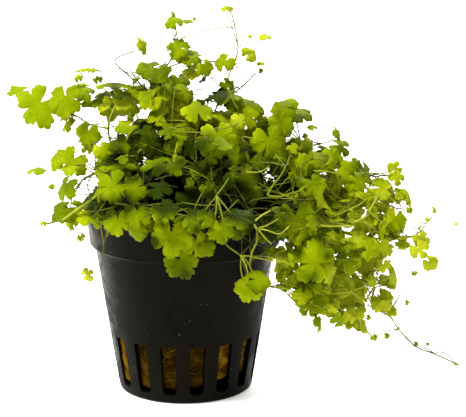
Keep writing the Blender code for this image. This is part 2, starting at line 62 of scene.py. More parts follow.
# A place is (across, up, depth): where it shows on the upright plane through the axis, and how far back.
runnerLimbs = dict(
    front_centre=[
        [(1, 38, -12), (4, 49, -20), (9.5, 55, -27), (8, 50, -32), (5, 45.5, -34), (2, 42, -34)],
    ],
    front_right=[
        [(7, 38, -12), (14, 52, -24), (20, 44.5, -32), (18, 40, -34), (15.5, 36.5, -35), (17, 31, -34)],
        [(15.5, 36.5, -35), (22, 36.5, -34), (27, 35, -32)],
        [(20, 44.5, -32), (25, 46.5, -31)],
    ],
    front_left=[
        [(-6, 38, -12), (-10, 51, -23), (-14, 54, -30), (-19, 48.5, -33), (-21.3, 43, -33.5),
         (-22.7, 37, -33.5)],
    ],
    left_low=[
        [(-11, 38, -9), (-16, 50, -20), (-21.5, 54, -25), (-27, 50, -24), (-32, 47.2, -22),
         (-38, 45.6, -20)],
    ],
    left_mid=[
        [(-14, 38, -3), (-18, 52, -13), (-22, 56, -17), (-24, 60, -16), (-24.5, 66, -13), (-27, 70, -9)],
        [(-24, 60, -16), (-27.5, 58, -14), (-30.5, 54.5, -12)],
    ],
    left_high=[
        [(-12, 38, 2), (-15, 52, -4), (-18.5, 63, -6), (-20.5, 72, -5), (-18, 79, -4), (-13.5, 84.5, -3),
         (-18.5, 90.3, -2), (-13.2, 93.2, -1)],
        [(-20.5, 72, -5), (-25.5, 73.2, -3), (-30, 76, -1), (-34.5, 77, 0)],
    ],
    front_middle=[[(3, 38, -7), (4, 52, -13), (3.5, 61, -16), (3, 69, -14), (4.5, 75, -10)]],
    right_low=[
        [(12, 38, -8), (22, 55, -18), (30, 52, -23), (35, 45.4, -23), (33.5, 38, -25), (31.5, 31, -25),
         (34.5, 21, -23)],
        [(35, 45.4, -23), (40, 46, -20), (45.5, 45.2, -17)],
        [(34.5, 21, -23), (30.5, 23.2, -26), (26.8, 26.8, -29), (22.8, 27.8, -31)],
    ],
    right_far=[
        [(15, 38, -2), (27, 57, -9), (40, 54, -11), (49, 46, -12), (53.5, 36, -12), (52, 28, -11),
         (51.5, 22, -10), (56, 19.6, -8), (59, 15.5, -6), (63.8, 10.6, -4), (69, 8.5, -2), (75.9, 5.2, 0)],
        [(49, 46, -12), (57, 41.6, -9), (63, 42.5, -5), (68, 48.4, -2)],
        [(52, 28, -11), (48.8, 22, -13), (48.4, 17, -14), (52.4, 12.9, -12)],
    ],
    right_mid=[
        [(13, 38, 5), (24, 57, 1), (33, 61, 0), (42, 61.5, -1), (50, 59, 0), (56, 59.2, 2)],
        [(42, 61.5, -1), (49, 56, -3), (55, 51, -3), (60, 49.5, -1)],
    ],
    right_high=[
        [(9, 38, 1), (20, 58, 4), (28, 63, 5), (31.5, 67.4, 4), (36, 67.6, 3), (40.5, 69, 2)],
        [(28, 63, 5), (27, 70, 5), (26.5, 75, 4)],
    ],
    top_centre=[
        [(5, 38, 4), (6, 56, 7), (7, 70, 6), (9, 79, 4), (12.6, 88, 2), (14.4, 94, 0), (12.9, 102.6, 0),
         (11.9, 105, 1)],
        [(9, 79, 4), (15, 83, 4), (19, 87, 3)],
    ],
    top_left=[
        [(-3, 38, 2), (-5, 56, 5), (-7, 70, 4), (-7.5, 80, 3), (-5.5, 87.5, 2), (-1.8, 93.5, 1),
         (-2.2, 100, 0)],
        [(-7.5, 80, 3), (-12, 84.5, 2), (-14.5, 88, 1)],
    ],
    back_left=[[(-8, 38, 8), (-10, 57, 17), (-13, 64, 25), (-15, 60, 32), (-16, 52, 35)]],
    back_middle=[[(-2, 38, 9), (-2, 58, 19), (-1, 69, 28), (1, 65, 35), (2, 55, 38)]],
    back_right=[[(6, 38, 10), (14, 56, 16), (21, 64, 21), (29, 60, 25), (36, 51, 26)]],
    back_high_left=[[(-7, 38, 3), (-9, 58, 9), (-11, 69, 15), (-10, 75, 20)]],
    back_high_right=[[(3, 38, 6), (10, 56, 9), (16, 63, 13), (18, 66, 18)]],
    back_top=[[(-1, 38, 5), (1, 58, 11), (1, 71, 15), (1, 77, 19)]],
)

# Leaves: across, up, depth, width, then degrees: tip in the view, lift of the face, turn to the right.
listedLeaves = dict(
    front_centre=(
        (-4, 41, -38, 11.5, -95, 14, -14), (-0.6, 33.8, -35.5, 9.5, -58, 6, 4),
        (3.4, 39.6, -37, 7.5, -75, 18, 12), (10, 43, -37, 7.2, -80, 14, 10),
        (2.2, 46.8, -38, 7.5, 170, 45, 0), (15.5, 47.4, -35, 8.6, 10, 62, 5),
        (-6.5, 55.4, -27, 8.4, 0, 66, -10), (1, 53, -26, 7.2, -50, 30, 0),
    ),
    front_right=(
        (20.5, 29.8, -35, 7.5, 20, 50, 10), (17.2, 26.2, -36, 7.6, -110, 12, -10),
        (30.4, 45.6, -29, 12, -82, 12, 10), (34.6, 35.4, -31, 12.2, 150, 14, 10),
    ),
    front_left=(
        (-20, 55.6, -31, 10.2, 205, 28, -12), (-13.4, 55.2, -34, 7.4, -20, 25, 5),
        (-13.2, 47.6, -36, 8.2, -95, 20, 0), (-18.4, 45.6, -37, 8, -92, 10, -10),
        (-5.2, 49.4, -34, 8, -60, 55, 0),
    ),
    left_low=(
        (-33, 55.4, -19, 8.4, 235, 30, -55), (-34.2, 49, -24, 7, 205, 40, -25),
    ),
    left_mid=(
        (-30.8, 62.6, -13, 9, 230, 14, -10), (-18.2, 62.2, -15, 11, 178, 76, 0),
        (-26.2, 70.4, -13, 7, -110, 12, -10), (-12.5, 69.6, -12, 7, 200, 55, 0),
    ),
    left_high=(
        (-40, 77.6, -2, 13, 222, 16, -15), (-32.4, 79.2, 1, 10.5, 262, 30, -20),
        (-28.4, 83.4, 3, 9, 165, 72, 0), (-25, 88.4, 0, 8, 25, 96, 0), (-18.5, 84.4, -3, 10, 5, 92, 0),
        (-21.8, 80.2, 2, 9.5, 190, 62, 0), (-13.2, 82, -6, 7.5, -30, 60, 0),
        (-45, 82, 2, 6.8, 185, 66, -20),
    ),
    front_middle=(
        (-7.8, 62.2, -20, 10.5, 190, 72, -5), (9.2, 68.8, -21, 11.5, -82, 32, 5),
        (3.4, 77.4, -12, 8.8, 95, 52, 0), (-1.5, 72.5, -16, 9.5, 175, 66, 0),
        (10.4, 74.6, -14, 8.5, 20, 55, 5), (16.2, 57.6, -22, 9.6, -60, 25, 15),
        (23, 68, -15, 9.5, -75, 18, 10), (-8.5, 67, -10, 7.5, 160, 45, 0), (14, 64, -17, 7.2, -120, 45, 0),
    ),
    right_low=(
        (39.6, 32.4, -28, 8.4, -80, 14, 50), (34, 28, -25, 7.4, -110, 25, 0),
        (47.6, 41.6, -18, 9.8, 0, 70, 5), (43.6, 28, -16, 7.6, -60, 30, 15),
        (38.6, 40, -15, 8, -70, 35, 10), (40, 46.8, -17, 7, -50, 45, 5), (45, 34.6, -19, 7.5, -75, 25, 10),
    ),
    right_far=(
        (46.6, 46.6, -9, 8, 200, 35, 0), (53.6, 38.4, -15, 8, -80, 18, 15),
        (57.9, 30.8, -10, 7.6, -68, 20, 82), (54.8, 23.4, -13, 7.4, -45, 20, 15),
        (57.4, 46.6, -9, 7, -100, 25, 20), (50, 34, -12, 7.5, -70, 30, 10),
        (48.6, 28.6, -11, 7, -80, 35, 10),
    ),
    right_mid=(
        (36.6, 62.8, -7, 8.6, -20, 50, 10), (31.2, 61.8, -10, 7.4, 200, 15, 0),
        (41.8, 57, -8, 8.6, -88, 15, 5), (35.2, 55.6, -14, 7.4, -60, 20, 0),
        (42.6, 66.8, 3, 7, -30, 45, 20), (54.2, 55.4, -4, 7, 5, 40, 15), (53.4, 57.9, 2, 7.2, 5, 84, 0),
        (44.4, 51.6, -5, 7.6, 210, 35, 0), (37.6, 51, -9, 7.6, -100, 30, 0),
    ),
    right_high=(
        (26, 77.6, -5, 7.4, 170, 45, 0), (31.2, 76.2, -1, 8.6, -28, 72, 20),
        (26.2, 72.4, -8, 8, -80, 20, 5), (22.4, 73.6, 2, 7.2, 120, 40, 0),
    ),
    top_centre=(
        (10, 81.6, -5, 11, 175, 80, 0), (16.4, 79.4, -2, 8.4, -14, 80, 5), (14.6, 76.4, 6, 8, 60, 35, 10),
    ),
    top_left=(
        (-9.8, 88.4, -4, 8.4, 190, 60, 0), (-5.6, 82.4, -7, 8, -70, 55, 0),
        (-9.6, 79.6, -10, 7.2, -140, 40, 0), (-2, 94.2, -3, 7, 150, 40, 0), (2.2, 91.6, -2, 7, -40, 60, 20),
    ),
)

# Small leaves, in the same order of values.
smallLeaves = dict(
    front_centre=(
        (6, 38.4, -36, 4.8, -40, 20, 20), (14.4, 43.2, -36, 5, -90, 15, 5), (6, 55.2, -28, 4.6, 150, 30, 0),
        (-2.6, 61.5, -25, 6.2, -50, 20, -40), (1.6, 57, -26, 3.2, -80, 30, 50),
        (6, 47.4, -36, 5, 60, 40, 0),
    ),
    front_right=(
        (25.6, 37.4, -31, 5.4, 60, 25, 10), (26.6, 33.2, -31, 4.8, -60, 20, 10),
        (26, 31.2, -29, 4.4, 150, 35, 0), (21.6, 41.6, -35, 3, -30, 30, 0),
        (12, 57.8, -30, 4, -100, 20, -20), (27, 42.4, -29, 4.6, -120, 25, 0),
    ),
    front_left=(
        (-13, 55.2, -35, 6.4, -10, 15, 0), (-13.2, 42.9, -35, 5.6, -85, 10, 0),
        (-23.6, 46.6, -27, 5.5, -95, 20, 0), (-9, 45.4, -33, 4.8, -90, 25, 0),
    ),
    left_low=(
        (-31.2, 46, -25, 5.6, -95, 20, -15), (-28.5, 50.4, -20, 6, 110, 45, 0),
        (-26.8, 47.6, -26, 5.5, 15, 60, 0), (-38.6, 45.8, -20, 1.8, 90, 30, 0),
        (-28.3, 41.7, -18, 2.6, -60, 30, 0), (-26.6, 31.6, -20, 4, 40, 30, 0),
    ),
    left_mid=(
        (-34.8, 63.6, -9, 6, 150, 25, -20), (-40.2, 60.8, -5, 6, 190, 88, -10),
        (-36.2, 56, -10, 2.2, 160, 60, 0), (-22.2, 65.8, -19, 5, -60, 20, 10),
        (-17, 68, -13, 6.4, -50, 40, 0), (-16.2, 72.6, -12, 6.6, 195, 62, -5),
    ),
    left_high=(
        (-31.6, 73, -1, 5.5, -62, 30, -60), (-28.4, 86, 2, 2.6, 100, 30, 0),
        (-26.4, 80.2, 0, 4.4, 60, 40, 0), (-23.2, 85.7, 1, 2.8, 100, 35, 0), (-18.2, 82.4, 3, 4, 0, 40, 0),
        (-19.8, 77, 4, 6.4, -80, 30, -10), (-16, 79, -2, 5.5, -60, 45, 0),
    ),
    front_middle=(
        (5.6, 67.2, -17, 6, -100, 20, 0), (14.8, 74.3, -16, 4.4, 60, 25, 0),
        (4.2, 60.8, -20, 6.2, 100, 30, 0), (18.6, 53.4, -24, 5.5, -88, 15, 10),
        (-3, 67, -15, 6, -60, 35, 0), (19.6, 62.4, -14, 6, -30, 45, 0),
    ),
    right_low=(
        (32.2, 24.9, -27, 5.6, -100, 14, -10), (29.8, 29.4, -24, 4.6, 170, 45, 0),
        (36.2, 23.2, -25, 6.4, -80, 25, 0), (37, 17.4, -24, 5.6, -90, 20, 70),
        (40, 21.6, -23, 6, -70, 20, 10), (42.7, 18, -24, 6.2, -85, 12, 15),
        (45.4, 19.6, -20, 5.6, -40, 30, 20), (40.6, 42, -22, 6.6, -10, 66, 0),
        (35.6, 42.6, -20, 6.6, -100, 20, 0), (46.6, 24.4, -15, 6.5, -60, 35, 20),
        (41.5, 25.5, -20, 5.5, -80, 30, 0), (38.5, 36.5, -20, 5.5, 30, 40, 0),
        (37.4, 27.6, -21, 5.4, -60, 30, 20), (43.4, 38.4, -15, 5.8, -90, 30, 0),
        (34, 31.4, -21, 5.2, -90, 25, 0), (34.4, 21.6, -24, 5.6, -60, 20, 0),
        (31.6, 24.2, -25, 5, -120, 30, 0), (27.6, 28.6, -28, 5, 0, 66, 0),
        (32.6, 52.4, -16, 5.6, -60, 30, 0), (35.6, 49.4, -14, 5.4, -90, 25, 10),
        (31.6, 41.6, -27, 6.2, -70, 30, 0), (28.6, 32.4, -24, 5.4, -60, 30, 10),
        (41.8, 33.4, -18, 5.8, -80, 25, 10), (42.2, 30.4, -18, 5.2, -60, 30, 0),
        (42.8, 23.6, -18, 5.6, -80, 25, 10), (47.8, 20.6, -16, 5, -60, 40, 20),
        (48.6, 16.6, -15, 5.2, -50, 50, 20), (46, 17.6, -18, 4.4, -40, 50, 0),
    ),
    right_far=(
        (54.3, 33.4, -13, 4.2, -88, 15, 20), (51.8, 29.8, -13, 4.6, -95, 25, 60),
        (57.2, 20.8, -11, 3.6, -40, 45, 10), (64.8, 41.4, -7, 5, 70, 20, 20),
        (64.4, 38, -9, 5.4, -50, 18, 15), (67.6, 34.3, -5, 4.6, -40, 25, 20),
        (68, 49.7, -2, 2.6, 80, 30, 60), (66.1, 46.9, -3, 1.6, 30, 40, 0), (61.1, 23.3, -6, 1.8, 20, 30, 0),
        (63, 31.6, -6, 1.8, -80, 30, 0), (50.6, 19, -12, 1.8, 0, 40, 0), (57.2, 43, -9, 4.8, -90, 18, 30),
        (48.4, 39, -7, 6, -60, 35, 10), (59, 44.8, -6, 4, -60, 25, 30), (59.8, 40.4, -8, 5, 0, 55, 10),
        (55.2, 29.4, -12, 5.8, 215, 62, 20), (63.8, 11.4, -4, 1.8, 0, 40, 0), (75, 5.6, 0, 1.3, 0, 40, 0),
        (67, 11.4, -2, 1.3, 120, 40, 0), (52.2, 13.2, -11, 2.2, -60, 30, 0), (55.8, 13.8, -9, 2, 20, 40, 0),
        (74, 45.8, -1, 1.4, 30, 40, 0),
    ),
    right_mid=(
        (43.8, 61.2, -3, 5.6, 110, 25, 20), (46.6, 62.6, 2, 4.6, 80, 25, 40),
        (49, 59.6, 0, 7.4, -72, 20, 62), (47, 57.6, -6, 6.4, -60, 25, 10), (57.6, 53, -3, 5.2, -60, 20, 20),
        (60.9, 53.4, -2, 6.3, 75, 20, 78), (57.6, 58.4, 0, 4.8, -80, 25, 20),
        (59, 53.4, -3, 4, -60, 30, 20), (61.4, 49.4, -2, 2.6, -60, 20, 40), (54, 51, -4, 5.4, -30, 30, 15),
        (57.2, 61.4, 2, 4.4, 60, 30, 20), (49.4, 52.6, -5, 6.4, -90, 25, 0),
        (52.4, 46.6, -6, 6.4, -88, 20, 10), (39.6, 53.4, -5, 6, -60, 35, 0),
        (33, 58.6, -8, 5.4, -90, 30, 0), (39.4, 65.2, 0, 5, 60, 40, 0), (46.4, 54.6, -2, 5.6, 10, 40, 10),
    ),
    right_high=(
        (34.6, 72.7, 2, 3.4, 0, 80, 0), (32.6, 70.2, 2, 2, 0, 50, 0), (41.2, 70.4, 1, 4.6, -35, 30, 60),
        (33.2, 67.6, -2, 5, 90, 25, 10), (29.6, 67.6, -3, 4.8, 110, 25, 0), (19.4, 77, 2, 6, -70, 30, 10),
        (25.6, 65.2, -6, 6, -90, 30, 0), (25.8, 61, -8, 5.6, -60, 30, 0), (27, 57.4, -9, 5.4, -90, 25, 10),
        (38, 66, 5, 5, 0, 50, 20), (29, 79.4, -1, 4.4, 40, 50, 0),
    ),
    top_centre=(
        (11.6, 84.4, -1, 4.4, 80, 30, 30), (10.6, 90.4, -2, 5.6, 90, 25, 0),
        (17.9, 92.6, 2, 4.6, 60, 45, 10), (21.6, 96.8, 3, 4.2, 5, 70, 10), (11.5, 104.9, 1, 3.6, 90, 58, 0),
        (20.6, 89.9, 4, 2.6, -30, 75, 0), (20.6, 87.8, 4, 1.6, 20, 40, 0), (17.5, 97, 3, 1.5, 170, 50, 0),
        (13.6, 79, 2, 5.6, -60, 45, 0),
    ),
    top_left=(
        (-2.8, 101.3, 0, 5, 110, 45, 0), (-2.7, 103, 0, 2.4, 95, 20, 70), (1.1, 101, 2, 4.2, -25, 80, 0),
        (2.9, 101.8, 2, 1.2, 20, 40, 0), (-10.6, 94.4, 1, 5.6, -68, 20, 66), (5.8, 88, -3, 5, -60, 20, 10),
        (1.6, 88, -1, 5.6, 160, 50, 0), (-6.4, 86.9, -7, 6, -60, 25, 0), (-1.4, 85, -5, 6.4, -80, 50, 0),
        (0.4, 82, -7, 6.4, 20, 45, 0), (-7, 85, 0, 5.5, 160, 45, 0),
    ),
)

# What the layout is worked out from, all as in the frame's own layout. Sizes are in mm, angles in degrees.
layout = dict(
    runnerRadius=0.65, petioleRadius=0.42, bladeThick=0.5, ownWidth=8.4, reachOfWidth=0.53, attachShare=0.2,
    cup=-0.08, clear=0.95, better=0.01, touch=0.3, lattice=1.7, latticeEdge=0.95, nearby=3, plugTop=39.0,
    rimHeight=52.4, wallHeights=(0, 40.6, 42.5, 52.4), wallRadii=(19, 24.5, 26.2, 27.5), wallDeep=2.2,
    runnerStep=6.5, roomStep=1.0, runnerBows=(1.5, 3.0, 4.5), stalkBows=(1.5, 3.0), bowTurn=45,
    bowShape=(1.0, 0.35, 0.7), slides=(0, 1.5, -1.5, 3, -3, 4.5, -4.5, 6, -6, 8, -8), underBlade=2.0,
    tooNear=3.0, nearCost=30, overCost=12.0, overFrom=-1.0, stalkGap=0.1, stalkSink=-0.05, stalkRise=0.6,
    stalkPull=0.35, stalkPoints=16, firstBlade=1000, tipForward=-0.3,
)

# Leaves for the runners of the far side, which no table lists: how many each carries, and how they stand.
fill = dict(
    counts=dict(back_left=6, back_middle=6, back_right=6, back_high_left=4, back_high_right=4, back_top=4),
    widths=(7.0, 11.0), own=3, seed=7, turn=2.4, turnSpread=0.4, outward=(0.9, 0.4), sideways=1.1,
    upward=(0.5, 0.5), reach=(7.0, 11.0), faceOut=(0.4, 1.2), faceUp=(0.5, 1.1), droop=(0, 0, -0.7),
)


def unit(vector):
    return vector / np.linalg.norm(vector)


def seen(across, up, depth):  # carried along the line of sight from the standpoint to its depth
    share = (depth - standpoint[1]) / -standpoint[1]
    return standpoint + (np.array([across, 0.0, up]) - standpoint) * share


def smoothPath(places, step):  # Catmull-Rom curve through the places, points about a step apart
    places = np.asarray(places, float)
    ends = np.concatenate([[2 * places[0] - places[1]], places, [2 * places[-1] - places[-2]]])
    path = [places[0]]
    for a, b, c, d in zip(ends, ends[1:], ends[2:], ends[3:]):
        parts = max(1, round(np.linalg.norm(c - b) / step))
        for k in range(1, parts + 1):
            t = k / parts
            bend, twist = 2 * a - 5 * b + 4 * c - d, 3 * b - a - 3 * c + d
            path.append(0.5 * (2 * b + (c - a) * t + bend * t**2 + twist * t**3))
    return np.array(path)


def bezier(a, b, c, d, count):
    t = np.linspace(0, 1, count)[:, None]
    return a * (1 - t) ** 3 + 3 * b * t * (1 - t) ** 2 + 3 * c * t**2 * (1 - t) + d * t**3


class Leaf:
    # Where a blade sits: the end of its petiole, its face, its tip and the reach of its lobes.

    def __init__(self, place, width, tip, normal, own):
        self.width = width
        self.reach = width * layout["reachOfWidth"]
        self.normal = unit(normal)
        self.tip = unit(tip - self.normal * (tip @ self.normal))
        self.side = np.cross(self.normal, self.tip)
        self.at = place - self.tip * self.reach * layout["attachShare"]
        self.own = own
        self.small, self.hidden, self.deep, self.tone = False, False, False, 0.5

    def moved(self, shift):
        other = Leaf(self.at, self.width, self.tip, self.normal, self.own)
        other.at = self.at + shift
        return other

    def point(self, degrees, share):
        turn = math.radians(degrees)
        flat = share * self.reach
        cup = layout["cup"] * self.reach * share**2 if self.own else 0.0
        return self.at + flat * (math.cos(turn) * self.tip + math.sin(turn) * self.side) + cup * self.normal

    def latticePoints(self):  # points spread over the blade, for finding what comes close to it
        places = [self.at]
        rounds = max(2, math.ceil(self.reach / layout["lattice"]))
        for turn in range(1, rounds + 1):
            share = layout["latticeEdge"] * turn / rounds
            count = max(6, round(2 * math.pi * share * self.reach / layout["lattice"]))
            places += [self.point(360 * k / count, share) for k in range(count)]
        return np.array(places)


class Room:
    # The places already taken, each with its half thickness and its owner.

    def __init__(self):
        self.places = np.zeros((0, 3))
        self.halves = np.zeros(0)
        self.owners = np.zeros(0, int)

    def take(self, places, half, owner):
        self.places = np.concatenate([self.places, places])
        self.halves = np.concatenate([self.halves, np.full(len(places), half)])
        self.owners = np.concatenate([self.owners, np.full(len(places), owner)])

    def takeLeaf(self, leaf, foot, bow, points, halves, owners):  # a blade, and its petiole without its ends
        self.take(leaf.latticePoints(), halves[0], owners[0])
        self.take(petiole(foot, leaf, bow, points)[2:-2], halves[1], owners[1])

    def gap(self, places, half, ignored):  # least clearance to the others, the pot and the plug
        radius = np.hypot(places[:, 0], places[:, 1])
        height = places[:, 2]
        wall = np.interp(height, layout["wallHeights"], layout["wallRadii"])
        inside = np.minimum(wall - layout["wallDeep"] - radius, height - layout["plugTop"])
        above = height - layout["rimHeight"]
        least = np.min(np.maximum(np.maximum(radius - wall, inside), above)) - half
        least = min(least, np.min(height) - half)
        low, high = places.min(0) - layout["nearby"], places.max(0) + layout["nearby"]
        near = np.all((self.places > low) & (self.places < high), 1) & (self.owners != ignored)
        if near.any():
            apart = np.linalg.norm(places[:, None] - self.places[near][None], axis=2)
            least = min(least, np.min(apart - self.halves[near][None]) - half)
        return least


def bowed(path, bow):  # pushed sideways, most in its middle and not at its ends
    along = np.linspace(0, math.pi, len(path))
    return path + np.sin(along)[:, None] * bow


def bows(sizes):
    yield np.zeros(3)
    for size in sizes:
        for turn in map(math.radians, range(0, 360, layout["bowTurn"])):
            yield np.array([math.cos(turn), math.sin(turn), math.sin(turn)]) * layout["bowShape"] * size


def nearest(places, wanted):
    return places[np.argmin(np.linalg.norm(places - wanted, axis=1))]


def layRunners(room):  # each limb as a path of its own, bowed away from another plant's limb if too close
    laid = {}
    radius, step = layout["runnerRadius"], layout["roomStep"]
    for owner, (name, limbs) in enumerate(runnerLimbs.items()):
        laid[name] = []
        for limb in limbs:
            places = np.array([seen(*place) for place in limb])
            if laid[name]:
                places[0] = nearest(np.concatenate(laid[name]), places[0])
            else:
                places[0][2] = layout["plugTop"] + layout["touch"] + radius
            path = smoothPath(places, layout["runnerStep"])
            best, bestGap = path, -math.inf
            for bow in bows(layout["runnerBows"]):
                tried = bowed(path, bow)
                found = room.gap(smoothPath(tried, step)[2:], radius, owner)
                if found > bestGap + layout["better"]:
                    best, bestGap = tried, found
                if found > layout["clear"]:
                    break
            laid[name].append(best)
            room.take(smoothPath(best, step), radius, owner)
    return laid


def footOn(limbs, leaf):  # the point of the runner that the petiole of a leaf grows from
    places = np.concatenate([limb[2:-1] for limb in limbs])
    end = leaf.at - leaf.normal * layout["underBlade"]
    apart = np.linalg.norm(places - end, axis=1)
    apart = np.where(apart < layout["tooNear"], layout["nearCost"] - apart, apart)
    over = (places - leaf.at) @ leaf.normal
    return places[np.argmin(apart + np.where(over > layout["overFrom"], layout["overCost"], 0.0))]


def petiole(foot, leaf, bow, count):
    half = layout["bladeThick"] / 2
    gap = half + layout["touch"] + layout["stalkGap"] if leaf.own else layout["stalkSink"]
    end = leaf.at - leaf.normal * gap
    span = np.linalg.norm(end - foot)
    leave = unit(unit(end - foot) + np.array([0, 0, layout["stalkRise"]]))
    pull = layout["stalkPull"]
    return bowed(bezier(foot, foot + leave * span * pull, end - leaf.normal * span * pull, end, count), bow)


def around(path, leaf):  # how far a petiole keeps from its own blade before it reaches the underside
    apart = np.linalg.norm(path[:-5, None] - leaf.latticePoints()[None], axis=2)
    return np.min(apart) - layout["petioleRadius"]


def settle(leaf, owner, limbs, room, push, small=False):  # slides a leaf along a line until it is clear
    best = None
    bladeIgnored = -1 if leaf.own or small else owner
    clear = tuck["clear"] if small else layout["clear"]
    bladeHalf = tuck["half"] if small else layout["bladeThick"] / 2
    stalkHalf = tuck["half"] if small else layout["petioleRadius"]
    for slide in layout["slides"]:
        moved = leaf.moved(push * slide)
        bladeGap = room.gap(moved.latticePoints(), bladeHalf, bladeIgnored)
        if best and bladeGap < best[0]:
            continue
        foot = footOn(limbs, moved)
        for bow in bows(layout["stalkBows"]):
            fine = petiole(foot, moved, bow, layout["stalkPoints"])
            found = min(bladeGap, room.gap(fine, stalkHalf, owner), around(fine, moved))
            if best is None or found > best[0] + layout["better"]:
                best = (found, moved, foot, bow)
            if found > clear or bladeGap <= best[0] + layout["better"]:
                break
        if best[0] > clear:
            break
    return best[1:]


def fillLeaves(name, limbs, count):  # leaves for a runner of the far side, stood out around it by a rule
    draw = random.Random(fill["seed"] + len(name) * count + sum(map(ord, name)))
    path = limbs[0][3:]
    leaves = []
    for k in range(count):
        place = path[round((len(path) - 1) * (k + 0.5) / count)]
        away = unit(place * (1, 1, 0))
        turn = k * fill["turn"] + draw.uniform(-fill["turnSpread"], fill["turnSpread"])
        (outLeast, outMore), (upLeast, upMore) = fill["outward"], fill["upward"]
        out = away * (outLeast + outMore * math.cos(turn))
        out = out + np.array([-away[1], away[0], 0]) * math.sin(turn) * fill["sideways"]
        out = unit(out + np.array([0, 0, upLeast + upMore * math.cos(turn)]))
        centre = place + out * draw.uniform(*fill["reach"])
        normal = away * draw.uniform(*fill["faceOut"]) + np.array([0, 0, draw.uniform(*fill["faceUp"])])
        own = k == fill["own"]
        width = fill["widths"][1] if own else draw.uniform(*fill["widths"])
        leaves.append(Leaf(centre, width, out + fill["droop"], unit(normal), own))
    return leaves


def placedLeaves(rows):
    leaves = []
    for across, up, depth, width, *angles in rows:
        tip, lift, turn = map(math.radians, angles)
        flat = math.cos(lift)
        normal = np.array([math.sin(turn) * flat, -math.cos(turn) * flat, math.sin(lift)])
        pointing = np.array([math.cos(tip), layout["tipForward"], math.sin(tip)])
        leaves.append(Leaf(seen(across, up, depth), width, pointing, normal, width >= layout["ownWidth"]))
    return leaves


def layPlant():  # every runner's paths, and its leaves with the feet and bows of their petioles
    room = Room()
    plant = []
    bladeOwner = layout["firstBlade"]
    halves = layout["bladeThick"] / 2, layout["petioleRadius"]
    for owner, (name, limbs) in enumerate(layRunners(room).items()):
        leaves = []
        listed = placedLeaves(listedLeaves.get(name, ()))
        for leaf in listed + fillLeaves(name, limbs, fill["counts"].get(name, 0)):
            push = unit(leaf.at - standpoint) if listed else unit(leaf.at * (1, 1, 0))
            leaf, foot, bow = settle(leaf, owner, limbs, room, push)
            bladeOwner += 1
            owners = bladeOwner if leaf.own else owner, owner
            room.takeLeaf(leaf, foot, bow, layout["stalkPoints"], halves, owners)
            leaves.append((leaf, foot, bow))
        plant.append((name, limbs, leaves))
    return plant, room


# The small listed leaves: how near they may come, and how the larger of them turn from where they face.
tuck = dict(clear=0.3, half=0.2, tilt=0.28, least=4.0, facing=0.75, wider=1.06, points=12, seed=17)

